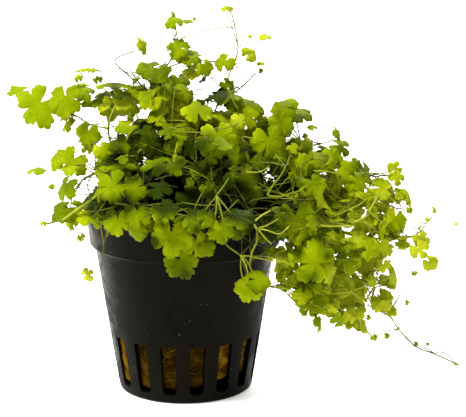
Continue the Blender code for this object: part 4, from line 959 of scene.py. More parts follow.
# Thin stems that cross the leaves in front, by runner: radius, tone, and places along each.
strands = dict(
    front_right=(
        (0.22, 0.75, ((20, 44.4, -36), (22, 45, -36), (25.5, 47, -36))),
        (0.2, 0.9, ((20, 44.2, -36), (22.4, 43.8, -36), (25.8, 42.8, -36), (28.5, 45, -34))),
        (0.2, 0.95, ((20, 44, -36), (22, 41.5, -36), (23.6, 40, -35))),
        (0.24, 0.9, ((19.6, 44.2, -36), (18.9, 46, -36.5), (21, 48, -36), (23.4, 49.3, -35))),
        (0.28, 0.85, ((19.6, 44, -35), (19.7, 41, -36.5), (18.4, 38, -37), (18, 36, -37), (17.6, 34, -37),
             (19, 31.2, -36))),
        (0.22, 1, ((18.2, 36.4, -36.5), (20, 36, -36.5), (24, 35.2, -36), (27, 35, -35), (28.8, 34.2, -34))),
        (0.22, 0.85, ((15.2, 36.8, -36), (16.6, 34, -37.5), (17.2, 31.6, -37.5))),
        (0.2, 0.75, ((15, 36.8, -36), (17, 35, -37.5), (18.6, 31.8, -37.5))),
        (0.2, 0.7, ((14.8, 37, -36), (11.5, 39.5, -37), (10, 42, -37))),
        (0.2, 0.1, ((23.3, 27.8, -34), (26, 28.4, -33), (27, 30, -32), (29.4, 31.7, -30))),
        (0.2, 0.15, ((25.6, 28.4, -32), (29, 27.8, -31), (30.5, 27.2, -30), (32, 27.5, -28))),
        (0.22, 0.1, ((25, 41.6, -33), (28, 40.2, -32), (30.2, 39.4, -31))),
    ),
    front_middle=(
        (0.22, 0.62, ((22.4, 53.6, -34), (24, 56.4, -33), (26, 59, -32), (27.4, 61.6, -29))),
        (0.2, 0.72, ((22.4, 53.5, -34), (26, 53.3, -34), (29, 54.2, -33), (32.5, 55.2, -31))),
        (0.18, 0.55, ((27.4, 61.5, -29), (26, 63.2, -26), (24.4, 65, -24))),
        (0.16, 0.5, ((27.4, 61.5, -29), (28, 63, -26), (28.6, 65, -23))),
        (0.22, 0.45, ((27.4, 61.5, -29), (24, 62.6, -28), (19.6, 62.6, -26))),
        (0.16, 1, ((16.6, 60.1, -28), (20.3, 60.1, -28), (23, 61.6, -27))),
        (0.18, 0.6, ((-4, 72.4, -22), (2, 71, -23), (8, 71.5, -24), (13.5, 72.8, -23))),
        (0.14, 0.25, ((-8, 58, -26), (-2, 59.5, -26), (4, 59, -26))),
        (0.13, 0.9, ((-2.9, 63, -30), (-2.5, 65.6, -30), (-1.9, 68.4, -28))),
    ),
    front_centre=(
        (0.26, 0.62, ((8.6, 53.5, -34), (9.6, 50, -37), (10.6, 46.2, -39))),
        (0.24, 0.56, ((8.6, 53.5, -34), (8.6, 50, -37), (8, 46.6, -39))),
        (0.22, 0.55, ((8.6, 53.5, -33), (10.4, 56, -32), (12, 58.4, -30))),
        (0.2, 0.48, ((8.4, 53, -34), (6, 50, -37), (5, 46.4, -39))),
        (0.2, 0.45, ((8.6, 53.5, -34), (11.4, 50, -37), (13.4, 47, -38))),
        (0.22, 0.35, ((-8, 50, -30), (-3, 48.6, -33), (1, 47.6, -35))),
        (0.2, 0.3, ((6, 56.4, -30), (3.6, 52, -34), (2, 48, -37))),
        (0.18, 0.3, ((14.6, 52.4, -33), (11.6, 49.4, -36), (9, 47.4, -38))),
        (0.18, 0.25, ((-1, 51.6, -31), (5, 50.8, -33), (11, 51.2, -34))),
    ),
    front_left=(
        (0.34, 0.86, ((-24, 53.4, -31), (-27.8, 50.8, -31), (-30.8, 48.6, -29), (-33.4, 46.6, -27))),
        (0.16, 0.3, ((-19, 50.4, -34), (-22, 49.6, -34), (-26, 49, -32))),
        (0.18, 0.35, ((-21.6, 51.6, -33), (-23.4, 49.4, -34), (-25, 47.4, -33))),
        (0.16, 0.25, ((-19, 51.4, -34), (-12, 50.2, -36), (-4, 49.4, -35))),
        (0.18, 0.3, ((-17, 48.8, -36), (-9, 51, -35), (-1, 51.2, -33))),
        (0.14, 0.12, ((-13, 55.4, -32), (-8, 57, -31), (-2, 55.8, -30))),
        (0.18, 0.3, ((-12, 47.6, -37), (-5.6, 48.2, -37), (1, 50, -36))),
    ),
    left_mid=(
        (0.2, 0.1, ((-24.6, 59.4, -17), (-27.6, 57.8, -17), (-30, 54, -16))),
        (0.18, 0.12, ((-24, 60.4, -17), (-27.6, 62, -16), (-30.6, 61.4, -15))),
        (0.18, 0.12, ((-24.4, 52, -20), (-26.4, 56, -19), (-24.8, 60, -18))),
    ),
    left_high=(
        (0.16, 0.45, ((-28, 87.4, -1), (-26.6, 85.6, -1), (-25.8, 84.4, -1))),
        (0.12, 0.3, ((-24.4, 88.6, 0), (-22.4, 86.8, 0), (-21.6, 84.6, 0))),
    ),
    right_low=(
        (0.34, 1, ((35, 45.3, -27), (40, 45, -26), (45.4, 45, -24))),
        (0.14, 1, ((35.4, 40.6, -28), (37, 39.7, -28), (39, 40, -27), (40, 41.6, -26))),
        (0.12, 0.85, ((43.2, 34.6, -24), (44.4, 31, -23), (45.6, 27, -22))),
        (0.1, 0.85, ((41, 35.6, -24), (44.4, 35.4, -23), (47, 35.8, -22))),
        (0.14, 0.9, ((36.2, 22.4, -28), (36.5, 19.6, -28))),
        (0.16, 0.8, ((42, 27, -23), (43, 30, -23), (41, 31.4, -23))),
    ),
    right_far=(
        (0.3, 1, ((46, 46, -20), (49, 47.5, -18), (50.6, 50, -16), (52.2, 53, -14))),
        (0.2, 1, ((50, 49.3, -17), (52, 47.4, -16), (53.9, 46, -15))),
        (0.2, 1, ((45.8, 46.3, -20), (49.6, 46.2, -18))),
        (0.14, 0.6, ((50, 49, -17), (47.5, 49.4, -18), (46, 48, -19))),
        (0.2, 1, ((45.2, 26.8, -20), (47, 25.3, -19), (50.2, 23.2, -17))),
        (0.12, 0.5, ((47, 22.2, -18), (50, 22.6, -17), (51.2, 23, -16))),
        (0.12, 0.2, ((50.4, 32.1, -14), (54, 32.6, -13))),
        (0.16, 0.6, ((52.2, 27.6, -14), (54.6, 28.3, -12), (56.6, 30.4, -10))),
        (0.18, 1, ((52.3, 35.5, -16), (55, 35, -15), (57.2, 34.6, -13), (63, 31.7, -7))),
        (0.18, 1, ((56, 39, -13), (59, 38.6, -11), (63, 38, -9))),
        (0.09, 1, ((45.3, 18.9, -18), (48, 18.8, -15), (50.5, 19, -12))),
    ),
    right_mid=(
        (0.16, 1, ((35, 60.4, -20), (38, 60.3, -19), (42, 59.6, -17))),
        (0.14, 1, ((38, 57, -20), (39.2, 55, -20))),
        (0.16, 0.9, ((50, 52.4, -12), (54, 53.8, -10), (57, 52, -8))),
        (0.14, 0.8, ((48, 60, -5), (52, 59.6, -2), (56, 60.4, 0))),
    ),
    top_left=(
        (0.14, 0.45, ((-9, 74.4, -10), (-8.6, 79, -11), (-9.4, 83, -10))),
        (0.14, 0.6, ((-6, 74, -10), (-5.2, 79, -11), (-5.4, 85, -9))),
        (0.12, 0.7, ((-3, 74, -12), (-3, 79, -12), (-2.2, 84, -10))),
        (0.12, 0.5, ((-11.4, 75, -9), (-8, 73, -12), (-5, 76.6, -12))),
        (0.12, 0.6, ((0.6, 86, -4), (2.4, 83.6, -4), (5, 82.4, -4))),
        (0.12, 0.6, ((3.6, 88.6, -3), (4, 85.4, -3), (3.4, 82, -4))),
    ),
    top_centre=(
        (0.16, 0.35, ((7, 86.4, -2), (8.6, 84.4, -2), (10.2, 83.4, -3))),
        (0.14, 0.6, ((12, 83, -8), (13, 80, -10), (14.4, 77.4, -12))),
        (0.14, 0.6, ((15, 81, -6), (17.6, 78, -8), (19.4, 73, -10))),
    ),
)

# Tones: 0 for a deep green leaf and 1 for a fresh one, with painted light and shade added in. Leaves in the
# bush's core are painted darker as its shade, leaves to the right are painted lighter, and single patches of
# the plant have a tone of their own, partly their leaves' colour and partly painted light and shade (across,
# up, radius, least depth, tone).
tones = dict(
    core=(2.0, 2.0, 57.0), coreRadii=(34.0, 32.0, 22.0), shade=0.8, shadeRise=2.0, listed=(0.22, 0.45),
    young=(0.15, 0.65), right=(25, 15, 0.28), freshest=1.15, most=1.5, patchSpread=0.08,
    toneAndLightPatches=(
        (20, 29, 6, -40, 0.92), (34.2, 35.4, 6, -40, 0.88), (-4, 41, 4, -40, 0.58),
        (-0.6, 33, 3, -40, 0.45), (-39.6, 79, 6, -6, 0.6), (-45.5, 82, 3, -6, 0.95), (-32, 79, 4, -6, 0.4),
        (-18.5, 84.4, 5, -6, 0.32), (-18.2, 82.4, 2, -6, 0.05), (-20, 56, 6, -40, 0.62),
        (-28.3, 41.7, 2, -40, 1.45), (-26.6, 31.6, 3, -40, 1.45), (75, 5.6, 3, -20, 1.5),
        (74, 45.8, 3, -20, 1.4), (11.5, 105, 3, -20, 1.1), (68, 35, 4, -20, 1.2), (21.6, 96.8, 3, -20, 1.0),
        (61, 23.4, 3, -20, 1.3), (-38.6, 45.8, 2, -40, 1.0), (2, 87.6, 2.5, -8, 0.75),
        (6, 88.4, 2.5, -8, 0.8), (-7, 54.4, 3, -40, 0.12), (-18, 45, 5, -40, 0.55), (-13, 47, 4, -40, 0.45),
        (9.2, 68.8, 5, -40, 0.48), (3.4, 78, 4, -16, 0.62), (-1.5, 72.5, 4, -20, 0.35),
        (10, 81.6, 5, -8, 0.08), (16.4, 79.4, 4, -8, 0.4), (14.8, 74.3, 2.5, -20, 0.6),
        (16, 57.6, 4, -30, 0.3), (23, 68, 4, -20, 0.5), (31, 47, 5, -32, 0.48), (53.4, 57.9, 4, -10, 0.7),
        (56.5, 61, 3, -10, 0.9), (31, 76, 4, -5, 0.3), (-34, 63, 6, -20, 0.6), (-33, 55, 4, -25, 0.55),
        (-34, 48.5, 3, -30, 0.15), (47.6, 41.6, 4, -20, 0.75), (54.8, 23, 4, -20, 0.8),
        (67, 36, 6, -12, 0.85), (64.6, 41, 4, -12, 0.6), (-8, 62, 4, -24, 0.4), (-18, 62, 4, -20, 0.35),
        (1.6, 57, 2, -30, 1.0), (2.4, 40, 3, -40, 0.75), (10, 43, 4, -40, 0.6), (12, 101, 9, -6, 0.7),
        (20, 94, 5, -6, 0.6), (-2, 101, 4, -6, 0.4), (60, 12, 18, -20, 1.0),
    ),
)

# Light and shade over the bush as it shows from the standpoint: across, up, radius, and what a tone gains.
mood = (
    (-23.4, 50.4, 3.2, -0.6), (-17, 51.4, 3.5, -0.7), (-20.6, 48.6, 2, -0.5), (-4.6, 50.8, 4, -0.6),
    (1, 50, 3.5, -0.3), (7, 51, 4.5, -0.45), (13.5, 48.6, 3.5, -0.4), (20.6, 46, 4.5, -0.55),
    (9.5, 81.6, 3.5, -0.6), (-16.5, 58.5, 4, -0.35), (-18, 64.5, 3, -0.4), (-9.6, 71.6, 4, -0.7),
    (5.4, 68.6, 4, -0.35), (12, 67.6, 3, -0.2), (2.6, 66.4, 2.5, -0.4), (-1, 62.8, 2.5, -0.4),
    (-7.5, 61.6, 4, -0.3), (6.5, 58, 2.5, -0.3), (-8.5, 40.4, 3, -0.3), (-0.5, 31, 3, -0.4),
    (21.4, 37.4, 3.5, -0.3), (17.5, 26, 3, -0.3), (34.6, 29.4, 4, -0.9), (36.4, 42, 3, -0.3),
    (39, 37, 2.5, -0.7), (30, 37, 2.5, -0.9), (50, 38.6, 2.5, -0.35), (-31, 57, 3, -0.25),
    (48, 61, 4, -0.35), (-18.4, 83, 3, -0.5), (-21.4, 80.6, 2.5, -0.4), (-0.6, 83, 2, -0.4),
    (-9.8, 82, 2, -0.35), (7, 81, 3, -0.25), (32, 52, 3, -0.2), (-20, 77.5, 5, 0.4), (-12, 74.4, 3, 0.7),
    (-3, 77, 4.5, 0.8), (-14, 82.5, 4, 0.2), (13, 78, 4, 0.65), (16.4, 71.6, 4, 0.7),
    (21.6, 74.6, 2.5, 0.4), (2.6, 72.6, 2.5, 0.5), (7.8, 74, 2.5, 0.6), (2, 75.4, 2.5, -0.4),
    (-24.6, 66.4, 3, 0.5), (-26.8, 72.6, 2.5, -0.35), (1, 86, 3, 0.5), (10.8, 88.6, 5, 0.15),
    (31, 67.4, 4, 0.45), (25, 61, 2.5, 0.25), (41.5, 42.4, 3, 0.35), (54, 50.6, 4.5, 0.4),
    (-26.6, 47.4, 3, 0.5), (-13, 58.6, 3, -0.5), (-6.5, 58.6, 3, -0.3), (40, 57, 4, 0.2), (48, 45, 6, 0.2),
    (26.8, 34, 4.5, 0.8), (30.6, 25.6, 4, 0.7), (41, 26, 5, 0.5), (51, 33, 4, 0.8), (54, 21, 8, 0.7),
    (-17.6, 42.4, 3, 0.3), (-3.2, 44.6, 3, 0.35), (-12, 46, 4, 0.15), (5, 39.4, 3, 0.25),
    (-31.2, 46.6, 4, 0.2), (-31.4, 73, 3, 0.4), (-8.4, 86.6, 3, -0.1), (21, 30, 3, 0.3),
    (-10, 65.4, 3, 0.4), (-13.8, 64.4, 3.5, 0.5), (-20, 61.6, 3, 0.2), (30, 61.6, 3, 0.3),
    (42, 57.4, 3.5, 0.5), (51, 48.6, 4, 0.45), (55.4, 53.6, 3, 0.6), (41, 28, 3.5, 0.7),
    (-18.6, 77.4, 3.5, 0.8), (6, 88.2, 2, -0.4), (28.4, 74, 3, 0.3), (33, 68.6, 2, 0.9),
    (11.4, 84.4, 2.5, 0.5), (-23.4, 85.6, 2, 0.6), (-2, 102, 4, 0.3), (30.6, 42.6, 3, 0.35),
    (-24.8, 50.2, 3, -0.4), (-9, 50.2, 3, -0.35), (-9.6, 46.6, 2.5, 0.3), (8.4, 51.6, 2.5, -0.35),
    (-9, 40.6, 2.5, -0.5), (23.6, 45.4, 3, -0.4), (14, 55, 3, -0.45), (8, 64, 2, -0.3),
    (9.8, 58.6, 2, -0.5), (-2.4, 67.6, 2.5, 0.4), (31, 57.4, 3, -0.3), (36.8, 57.6, 2.5, -0.4),
    (38, 63, 4, -0.25), (-5.6, 72.6, 3, -0.35), (-17, 70, 2.5, -0.35), (26.6, 48.6, 2.5, -0.4),
    (-28, 61.6, 2, 0.5), (-18, 41.6, 2, 0.3), (-13.4, 56, 3, 0.5), (1, 58.6, 2, 0.8), (59, 41, 2.5, 0.5),
    (53.6, 43, 2, -0.45), (58, 46, 2.5, -0.3), (42.6, 66.6, 3, -0.35), (-1, 92.4, 3, 0.45),
    (-15.4, 41.4, 2, -0.4), (3, 43.6, 2, -0.35), (-7, 46, 2, -0.4), (47.4, 23, 3, 0.8),
    (-17, 63.6, 2, -0.35), (42, 18.4, 3, -0.35), (28.4, 67.4, 2, -0.7), (62, 40, 9, 0.4),
    (-11, 94.5, 3, 0.9), (19, 93.6, 5, 0.7), (58, 59, 4, 0.2), (-26, 86, 4, 0.35),
)


def moodAt(points):
    shown = viewPlace(points)
    return sum(gain * np.exp(-((shown[:, 0] - across) ** 2 + (shown[:, 1] - up) ** 2) / radius**2)
               for across, up, radius, gain in mood)


def toneOf(leaf, draw):
    if leaf.deep:
        # core leaves: painted shade, lighter towards the top
        low, span, most = core["lighter"]
        return draw.uniform(*core["tone"]) + most * float(np.clip((leaf.at[2] - low) / span, 0, 1))
    # young leaves in the shaded circles: painted shade
    if leaf.hidden and inShade(leaf.at):
        return bush["shadeTone"]
    least, spread = tones["young"] if leaf.hidden else tones["listed"]
    # painted shade, deeper towards the bush's core
    inward = 1 - np.linalg.norm((leaf.at - tones["core"]) / tones["coreRadii"])
    shade = tones["shade"] * np.clip(inward * tones["shadeRise"], 0, 1)
    # painted light, stronger towards the right
    start, span, most = tones["right"]
    right = most * np.clip((leaf.at[0] - start) / span, 0, 1)
    tone = least + spread * draw.random() + right - shade
    # a patch sets a leaf's tone, partly its own colour and partly painted light and shade
    shown = viewPlace(leaf.at)[0]
    for across, up, radius, near, own in tones["toneAndLightPatches"]:
        apart = math.hypot(shown[0] - across, shown[1] - up)
        if apart < radius and leaf.at[1] > near and leaf.width > 1:
            spread = tones["patchSpread"]
            tone = (tone + own) * 0.5 if leaf.hidden else own + draw.uniform(-spread, spread)
            break
    return float(np.clip(tone, 0, tones["most"]))


# A stem's tone, with the painted light and shade of its place added.
def stemTone(own, path):
    return np.clip(own * stems["toneSpan"] + moodAt(path), 0, 1)


def dressPlant(plant, tucked, grown, leafLook, stemLook):
    bladeDraw, stemDraw = random.Random(blade["seed"]), random.Random(stems["seed"])
    sides = stems["petioleSides"]
    for name, limbs, leaves in plant:
        bag = Bag()
        for k, limb in enumerate(limbs):
            fine = smoothPath(limb, stems["step"])
            radii = runnerRadii(fine, stems["branch" if k else "runner"], stems["runnerTip"])
            stalkSurface(fine, radii, stems["runnerSides"], bag, 1, stemTone(stemDraw.random(), fine))
        for thick, tone, places in strands.get(name, ()):
            fine = smoothPath([seen(*place) for place in places], stems["step"])
            stalkSurface(fine, thick * np.linspace(*stems["strandTaper"], len(fine)), sides, bag, 1, tone)
        number = 0
        for leaf, foot, bow in leaves + tucked[name] + grown[name]:
            kind = "young" if leaf.hidden or leaf.small else "petiole"
            leaf.tone = toneOf(leaf, bladeDraw)
            stalk = petiole(foot, leaf, bow, stems["youngPoints" if leaf.hidden else "petiolePoints"])
            thin = min(stems[kind + "End"], stems["endOfWidth"] * leaf.width + stems["endLeast"])
            radii = np.linspace(stems[kind + "Foot"], thin, len(stalk))
            stalkSurface(stalk, radii, stems[kind + "Sides"], bag, 1, stemTone(stemDraw.random(), stalk))
            if leaf.own:
                number += 1
                own = Bag()
                bladeSurface(leaf, own, 0, bladeDraw)
                neck = np.linspace(stalk[-1], leaf.at, stems["neckPoints"])
                stalkSurface(neck, thin, sides, own, 1, stems["neckTone"])
                piece = own.build(f"{name}Blade{number}", [leafLook, stemLook])
                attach(piece, "root")
                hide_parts(f"{name}_leaf_{number}")
            else:
                (youngSurface if leaf.hidden else bladeSurface)(leaf, bag, 0, bladeDraw)
        piece = bag.build(f"{name}Spray", [leafLook, stemLook])
        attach(piece, "root")
        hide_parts(f"{name}_runner")
        print("spray", name, "with", len(leaves), "leaves and", len(grown[name]), "young ones")


# Shader graphs: a wrapped socket whose operators add Math nodes.
class Wire:
    def __init__(self, graph, socket):
        self.graph, self.socket = graph, socket

    def math(self, operation, *others):
        return self.graph.wire("ShaderNodeMath", 0, {"operation": operation}, dict(enumerate((self, *others))))

    def __add__(self, other):
        return self.math("ADD", other)

    def __sub__(self, other):
        return self.math("SUBTRACT", other)

    def __mul__(self, other):
        return self.math("MULTIPLY", other)

    def __truediv__(self, other):
        return self.math("DIVIDE", other)

    def __rsub__(self, other):
        return (self * -1.0) + other

    __radd__, __rmul__ = __add__, __mul__

    def step(self, low, high):  # 0 below low and 1 above high, smooth between
        return self.graph.wire("ShaderNodeMapRange", 0, {"interpolation_type": "SMOOTHSTEP"},
                               {0: self, 1: low, 2: high, 3: 0.0, 4: 1.0})


class Graph:
    # The nodes of a new material, or of a new world, without those that it starts with.

    def __init__(self, owner):
        owner.use_nodes = True
        self.owner, self.tree = owner, owner.node_tree
        self.tree.nodes.clear()

    def add(self, kind, settings=None, sockets=None):
        node = self.tree.nodes.new(kind)
        for key, value in (settings or {}).items():
            setattr(node, key, value)
        for key, value in (sockets or {}).items():
            if isinstance(value, Wire):
                self.tree.links.new(value.socket, node.inputs[key])
            else:
                node.inputs[key].default_value = value
        return node

    def wire(self, kind, output=0, settings=None, sockets=None):
        return Wire(self, self.add(kind, settings, sockets).outputs[output])

    def parts(self, kind, whole):  # what a separating node makes of a wire
        return [Wire(self, output) for output in self.add(kind, None, {0: whole}).outputs]

    def tones(self):  # the three values that each point of a mesh carries
        tone = self.wire("ShaderNodeAttribute", "Color", {"attribute_name": "tone"})
        return self.parts("ShaderNodeSeparateColor", tone)

    def noise(self, place, scale, detail=3.0, roughness=0.55, distortion=0.0):
        return self.wire("ShaderNodeTexNoise", 0, {"noise_dimensions": "3D"},
                         {"Vector": place, "Scale": scale, "Detail": detail, "Roughness": roughness,
                          "Distortion": distortion})

    def mix(self, factor, first, second):  # colours
        ends = [value if isinstance(value, Wire) else (*value, 1.0) for value in (first, second)]
        return self.wire("ShaderNodeMix", 2, {"data_type": "RGBA"}, {0: factor, 6: ends[0], 7: ends[1]})

    def bump(self, height, strength, distance):
        return self.wire("ShaderNodeBump", 0, None,
                         {"Strength": strength, "Distance": distance, "Height": height})

    def principled(self, sockets):
        return self.add("ShaderNodeBsdfPrincipled", None, sockets)

    def finish(self, shader, output="ShaderNodeOutputMaterial"):
        self.tree.links.new(shader.outputs[0], self.add(output).inputs["Surface"])
        return self.owner


def newMaterial(name):  # a material's graph, and the places on its pieces
    g = Graph(bpy.data.materials.new(name))
    return g, g.wire("ShaderNodeTexCoord", "Object")


leafColours = dict(
    dark=(0.012, 0.022, 0.0004), deep=(0.037, 0.057, 0.0007), fresh=(0.186, 0.255, 0.0008),
    young=(0.38, 0.435, 0.004), pale=(0.66, 0.70, 0.06), under=(0.14, 0.18, 0.004), vein=(0.24, 0.29, 0.006),
    edge=(0.20, 0.23, 0.002), light=(0.46, 0.54, 0.001, 1), sheen=(0.60, 0.75, 0.10, 1), roughness=0.40,
    gloss=0.035, through=(0.12, 0.40), veins=10, veinWidth=(0.008, 0.035), mapReach=2.2, cloudScale=220.0,
    mottleScale=1100.0, bump=(0.5, 0.00022),
)


def leafMaterial():
    look = leafColours
    g, place = newMaterial("leafGreen")
    flat = g.wire("ShaderNodeUVMap", 0, {"uv_map": "bladeMap"})
    x, y = (part - 0.5 for part in g.parts("ShaderNodeSeparateXYZ", flat)[:2])
    out = (x * x + y * y).math("SQRT") * look["mapReach"]
    angle = x.math("ARCTAN2", y) / (2 * math.pi)  # 0 along the tip, in turns
    spread = (angle * look["veins"]).math("PINGPONG", 0.5)
    vein = 1.0 - (spread * out / look["veins"] * wholeTurn).step(*look["veinWidth"])
    branch = (angle * look["veins"] * 3.0 + out * 1.5).math("PINGPONG", 0.5)
    fineVein = (1.0 - branch.step(0.02, 0.16)) * out.step(0.25, 0.6) * 0.35
    own, under, edge = g.tones()
    cloud = g.noise(place, look["cloudScale"])
    mottle = g.noise(place, look["mottleScale"], 4.0)
    # the tone carries painted light and shade as well as the leaf's own colour, so dark and deep serve also as
    # painted shade and pale partly as painted light
    fresh = own + (cloud - 0.5) * 0.6 + (mottle - 0.5) * 0.5
    colour = g.mix(own.step(0.0, 0.22), look["dark"], look["deep"])
    colour = g.mix(fresh.step(0.05, 0.72), colour, look["fresh"])
    colour = g.mix((fresh - 0.62).step(0.0, 0.4) * 0.8, colour, look["young"])
    colour = g.mix((own - 1.0).step(0.0, 0.5), colour, look["pale"])
    colour = g.mix((vein * 0.6 + fineVein) * own * 0.4, colour, look["vein"])
    colour = g.mix(edge.step(0.85, 1.0) * own * 0.4, colour, look["edge"])
    colour = g.mix(under * own * 0.8, colour, look["under"])
    rough = look["roughness"] + cloud * 0.16 + under * 0.15 - vein * 0.05
    normal = g.bump(mottle * 0.6 - vein * 0.5 - fineVein * 0.4, *look["bump"])
    skin = g.principled({"Base Color": colour, "Roughness": rough, "Normal": normal,
                         "Specular IOR Level": look["gloss"], "Specular Tint": look["sheen"]})
    glow = g.add("ShaderNodeBsdfTranslucent", None, {"Color": look["light"], "Normal": normal})
    least, most = look["through"]
    through = own.step(0.0, 0.8) * (most - least) + least * own.step(0.0, 0.3)
    both = g.add("ShaderNodeMixShader", None, {0: through})
    g.tree.links.new(skin.outputs[0], both.inputs[1])
    g.tree.links.new(glow.outputs[0], both.inputs[2])
    return g.finish(both)


stemColours = dict(
    dark=(0.012, 0.015, 0.001), green=(0.12, 0.15, 0.002), pale=(0.29, 0.32, 0.02), roughness=0.42, gloss=0.10,
    cloudScale=160.0, streakScale=1400.0, bump=(0.3, 0.0001),
)


def stemMaterial():
    look = stemColours
    g, place = newMaterial("stemGreen")
    own = g.tones()[0]
    cloud = g.noise(place, look["cloudScale"])
    streak = g.noise(place, look["streakScale"])
    colour = g.mix((own * 0.7 + cloud * 0.7 - 0.15).step(0.1, 0.7), look["dark"], look["green"])
    colour = g.mix((own + streak * 0.3).step(0.8, 1.15) * 0.8, colour, look["pale"])
    return g.finish(g.principled({
        "Base Color": colour, "Roughness": look["roughness"] + streak * 0.2,
        "Normal": g.bump(streak, *look["bump"]), "Specular IOR Level": look["gloss"]}))


# The pot: sizes in mm as in the frame, with the lip, the ledge and the base edge rounded. Ledge points are
# out from the body's top and up from the ledge; corner rows are shares of a slot's lower corner.
pot = dict(
    rimRadius=27.5, rimHeight=52.4, lip=0.5, innerLip=0.3, collarFoot=26.0, collarHeight=42.5, ledge=40.6,
    bodyTop=24.6, ledgePoints=((0.02, -0.15), (0.25, 0.12)), step=0.5, stepRise=0.75, innerLedge=(0.2, 0.4),
    base=18.4, baseEdge=1.2, floorEdge=0.3, wall=1.2, floor=1.4, slots=16, slotSpan=11.4, slotTurn=10.4,
    slotFoot=2.6, slotTop=16.5, corner=1.3, cornerRows=(0, 0.08, 0.2, 0.38, 0.6, 0.85, 1.0), cornerLeast=0.62,
    wallRows=(3, 9, 12), wallEnds=(0.2, 0.5), slotColumns=6, ribColumns=6, mapHeight=60, sharpFrom=40,
)


def coneRadius(height):
    share = (height - pot["baseEdge"]) / (pot["ledge"] - pot["baseEdge"])
    return pot["base"] + (pot["bodyTop"] - pot["base"]) * share


def arc(centre, radius, start, end, count):  # points (radius, height) on a round corner
    turn = np.radians(np.linspace(start, end, count))
    return np.stack([centre[0] + radius * np.cos(turn), centre[1] + radius * np.sin(turn)], 1)


def potProfiles():  # (radius, height) up the outer wall, then down the inner one in a covered and an open part
    edge, lip, wall, ledge = pot["baseEdge"], pot["lip"], pot["wall"], pot["ledge"]
    low, high, corner = pot["slotFoot"], pot["slotTop"], pot["corner"]
    below, beside, over = pot["wallRows"]
    heights = np.concatenate([
        np.linspace(edge + pot["wallEnds"][0], low, below)[:-1], low + corner * np.array(pot["cornerRows"]),
        np.linspace(low + corner, high, beside)[1:], np.linspace(high, ledge - pot["wallEnds"][1], over)[1:],
    ])
    body = np.stack([coneRadius(heights), heights], 1)
    foot = arc((pot["base"] - edge, edge), edge, -90, -2, 8)
    top, bottom, rim = pot["rimRadius"], pot["collarFoot"], pot["rimHeight"]
    under = np.array(pot["ledgePoints"]) + [pot["bodyTop"], ledge]
    step = arc((bottom - pot["step"], ledge + pot["stepRise"]), pot["step"], -75, 0, 6)
    collar = np.linspace((bottom + 0.03, pot["collarHeight"]), (top, rim - lip), 8)
    outer = np.concatenate([foot, body, under, step, collar, arc((top - lip, rim - lip), lip, 15, 90, 5)])
    small = pot["innerLip"]
    inLip = arc((top - wall + small, rim - small), small, 90, 180, 4)
    inward, down = pot["innerLedge"]
    inCollar = [[bottom - wall - inward, pot["collarHeight"]], [pot["bodyTop"] - wall, ledge - down]]
    inFoot = [[coneRadius(pot["floor"]) - wall - pot["floorEdge"], pot["floor"]]]
    return outer, np.concatenate([inLip, inCollar]), np.concatenate([(body - [wall, 0])[::-1][1:], inFoot])


def slotHalf(height):  # half the slot's span in degrees: a square top, and a round at each lower corner
    up = np.clip((height - pot["slotFoot"]) / pot["corner"], 0, 1)
    least = pot["cornerLeast"]
    return pot["slotSpan"] / 2 * (least + (1 - least) * np.sqrt(np.clip(1 - (1 - up) ** 2, 0, 1)))


def buildPot(look, insideLook):
    # A turned profile, radius and height around the axis, whose columns crowd to the slots' edges. The faces
    # between the slots' columns and rows are left out of both walls, and cheeks join the two edges.
    outer, covered, exposed = potProfiles()
    profile = np.concatenate([outer, covered, exposed])
    pitch = 360 / pot["slots"]
    across, ribs = pot["slotColumns"], pot["ribColumns"]
    perSlot = across + ribs
    r, z = profile.T
    half = slotHalf(z)[:, None]
    inSlot = np.linspace(-1, 1, across + 1)[None, :-1] * half
    onRib = half + (pitch - 2 * half) * np.linspace(0, 1, ribs + 1)[None, :-1]
    local = np.concatenate([inSlot, onRib], 1)
    angle = (local[:, None, :] + pitch * np.arange(pot["slots"])[None, :, None]).reshape(len(profile), -1)
    angle = np.radians(angle - 90 + pot["slotTurn"])
    columns = angle.shape[1]
    points = np.stack([r[:, None] * np.cos(angle), r[:, None] * np.sin(angle),
                       np.broadcast_to(z[:, None], angle.shape)], -1).reshape(-1, 3)
    quads = gridFaces(len(profile), columns).reshape(len(profile) - 1, columns, 4)
    isOpen = (z >= pot["slotFoot"] - 1e-6) & (z <= pot["slotTop"] + 1e-6)
    rowOpen = isOpen[:-1] & isOpen[1:]
    columnOpen = np.arange(columns) % perSlot < across
    keep = ~(rowOpen[:, None] & columnOpen[None])
    outRows = np.flatnonzero(isOpen[:len(outer)]) * columns
    inRows = (len(outer) + np.flatnonzero(isOpen[len(outer):])[::-1]) * columns
    start = np.arange(pot["slots"]) * perSlot
    cheeks = []
    for column, way in ((start, 1), ((start + across) % columns, -1)):
        a, b, c, d = (rows[:, None] + column for rows in (outRows[:-1], outRows[1:], inRows[1:], inRows[:-1]))
        cheeks.append(np.stack([a, d, c, b] if way > 0 else [a, b, c, d], -1).reshape(-1, 4))
    inside = (start[:, None] + np.arange(across)[None]).ravel()
    after = (inside + 1) % columns
    for o, i, way in ((outRows[-1], inRows[-1], -1), (outRows[0], inRows[0], 1)):
        a, b, c, d = o + inside, o + after, i + after, i + inside
        cheeks.append(np.stack([a, b, c, d] if way > 0 else [a, d, c, b], -1))
    n = len(points)
    points = np.concatenate([points, [[0, 0, 0.0], [0, 0, pot["floor"]]]])
    faces = np.concatenate([quads[keep], *cheeks, fan(0, columns, n, flip=True),
                            fan(n - columns, columns, n + 1)])
    turnMap = np.stack([np.tile(np.arange(columns) / columns, len(profile)),
                        np.repeat(z, columns) / pot["mapHeight"]], 1)
    bag = Bag()
    bag.add(points, faces, 0, np.concatenate([turnMap, [[0, 0]] * 2]))
    last = np.max(faces, 1)
    innerWall = (last < n) & (np.min(faces, 1) >= (len(outer) + len(covered)) * columns)
    bag.slots[-1] = np.where(innerWall | (last == n + 1), 1, 0)
    piece = bag.build("netPot", [look, insideLook], pot["sharpFrom"])
    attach(piece, "root")
    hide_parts("pot")


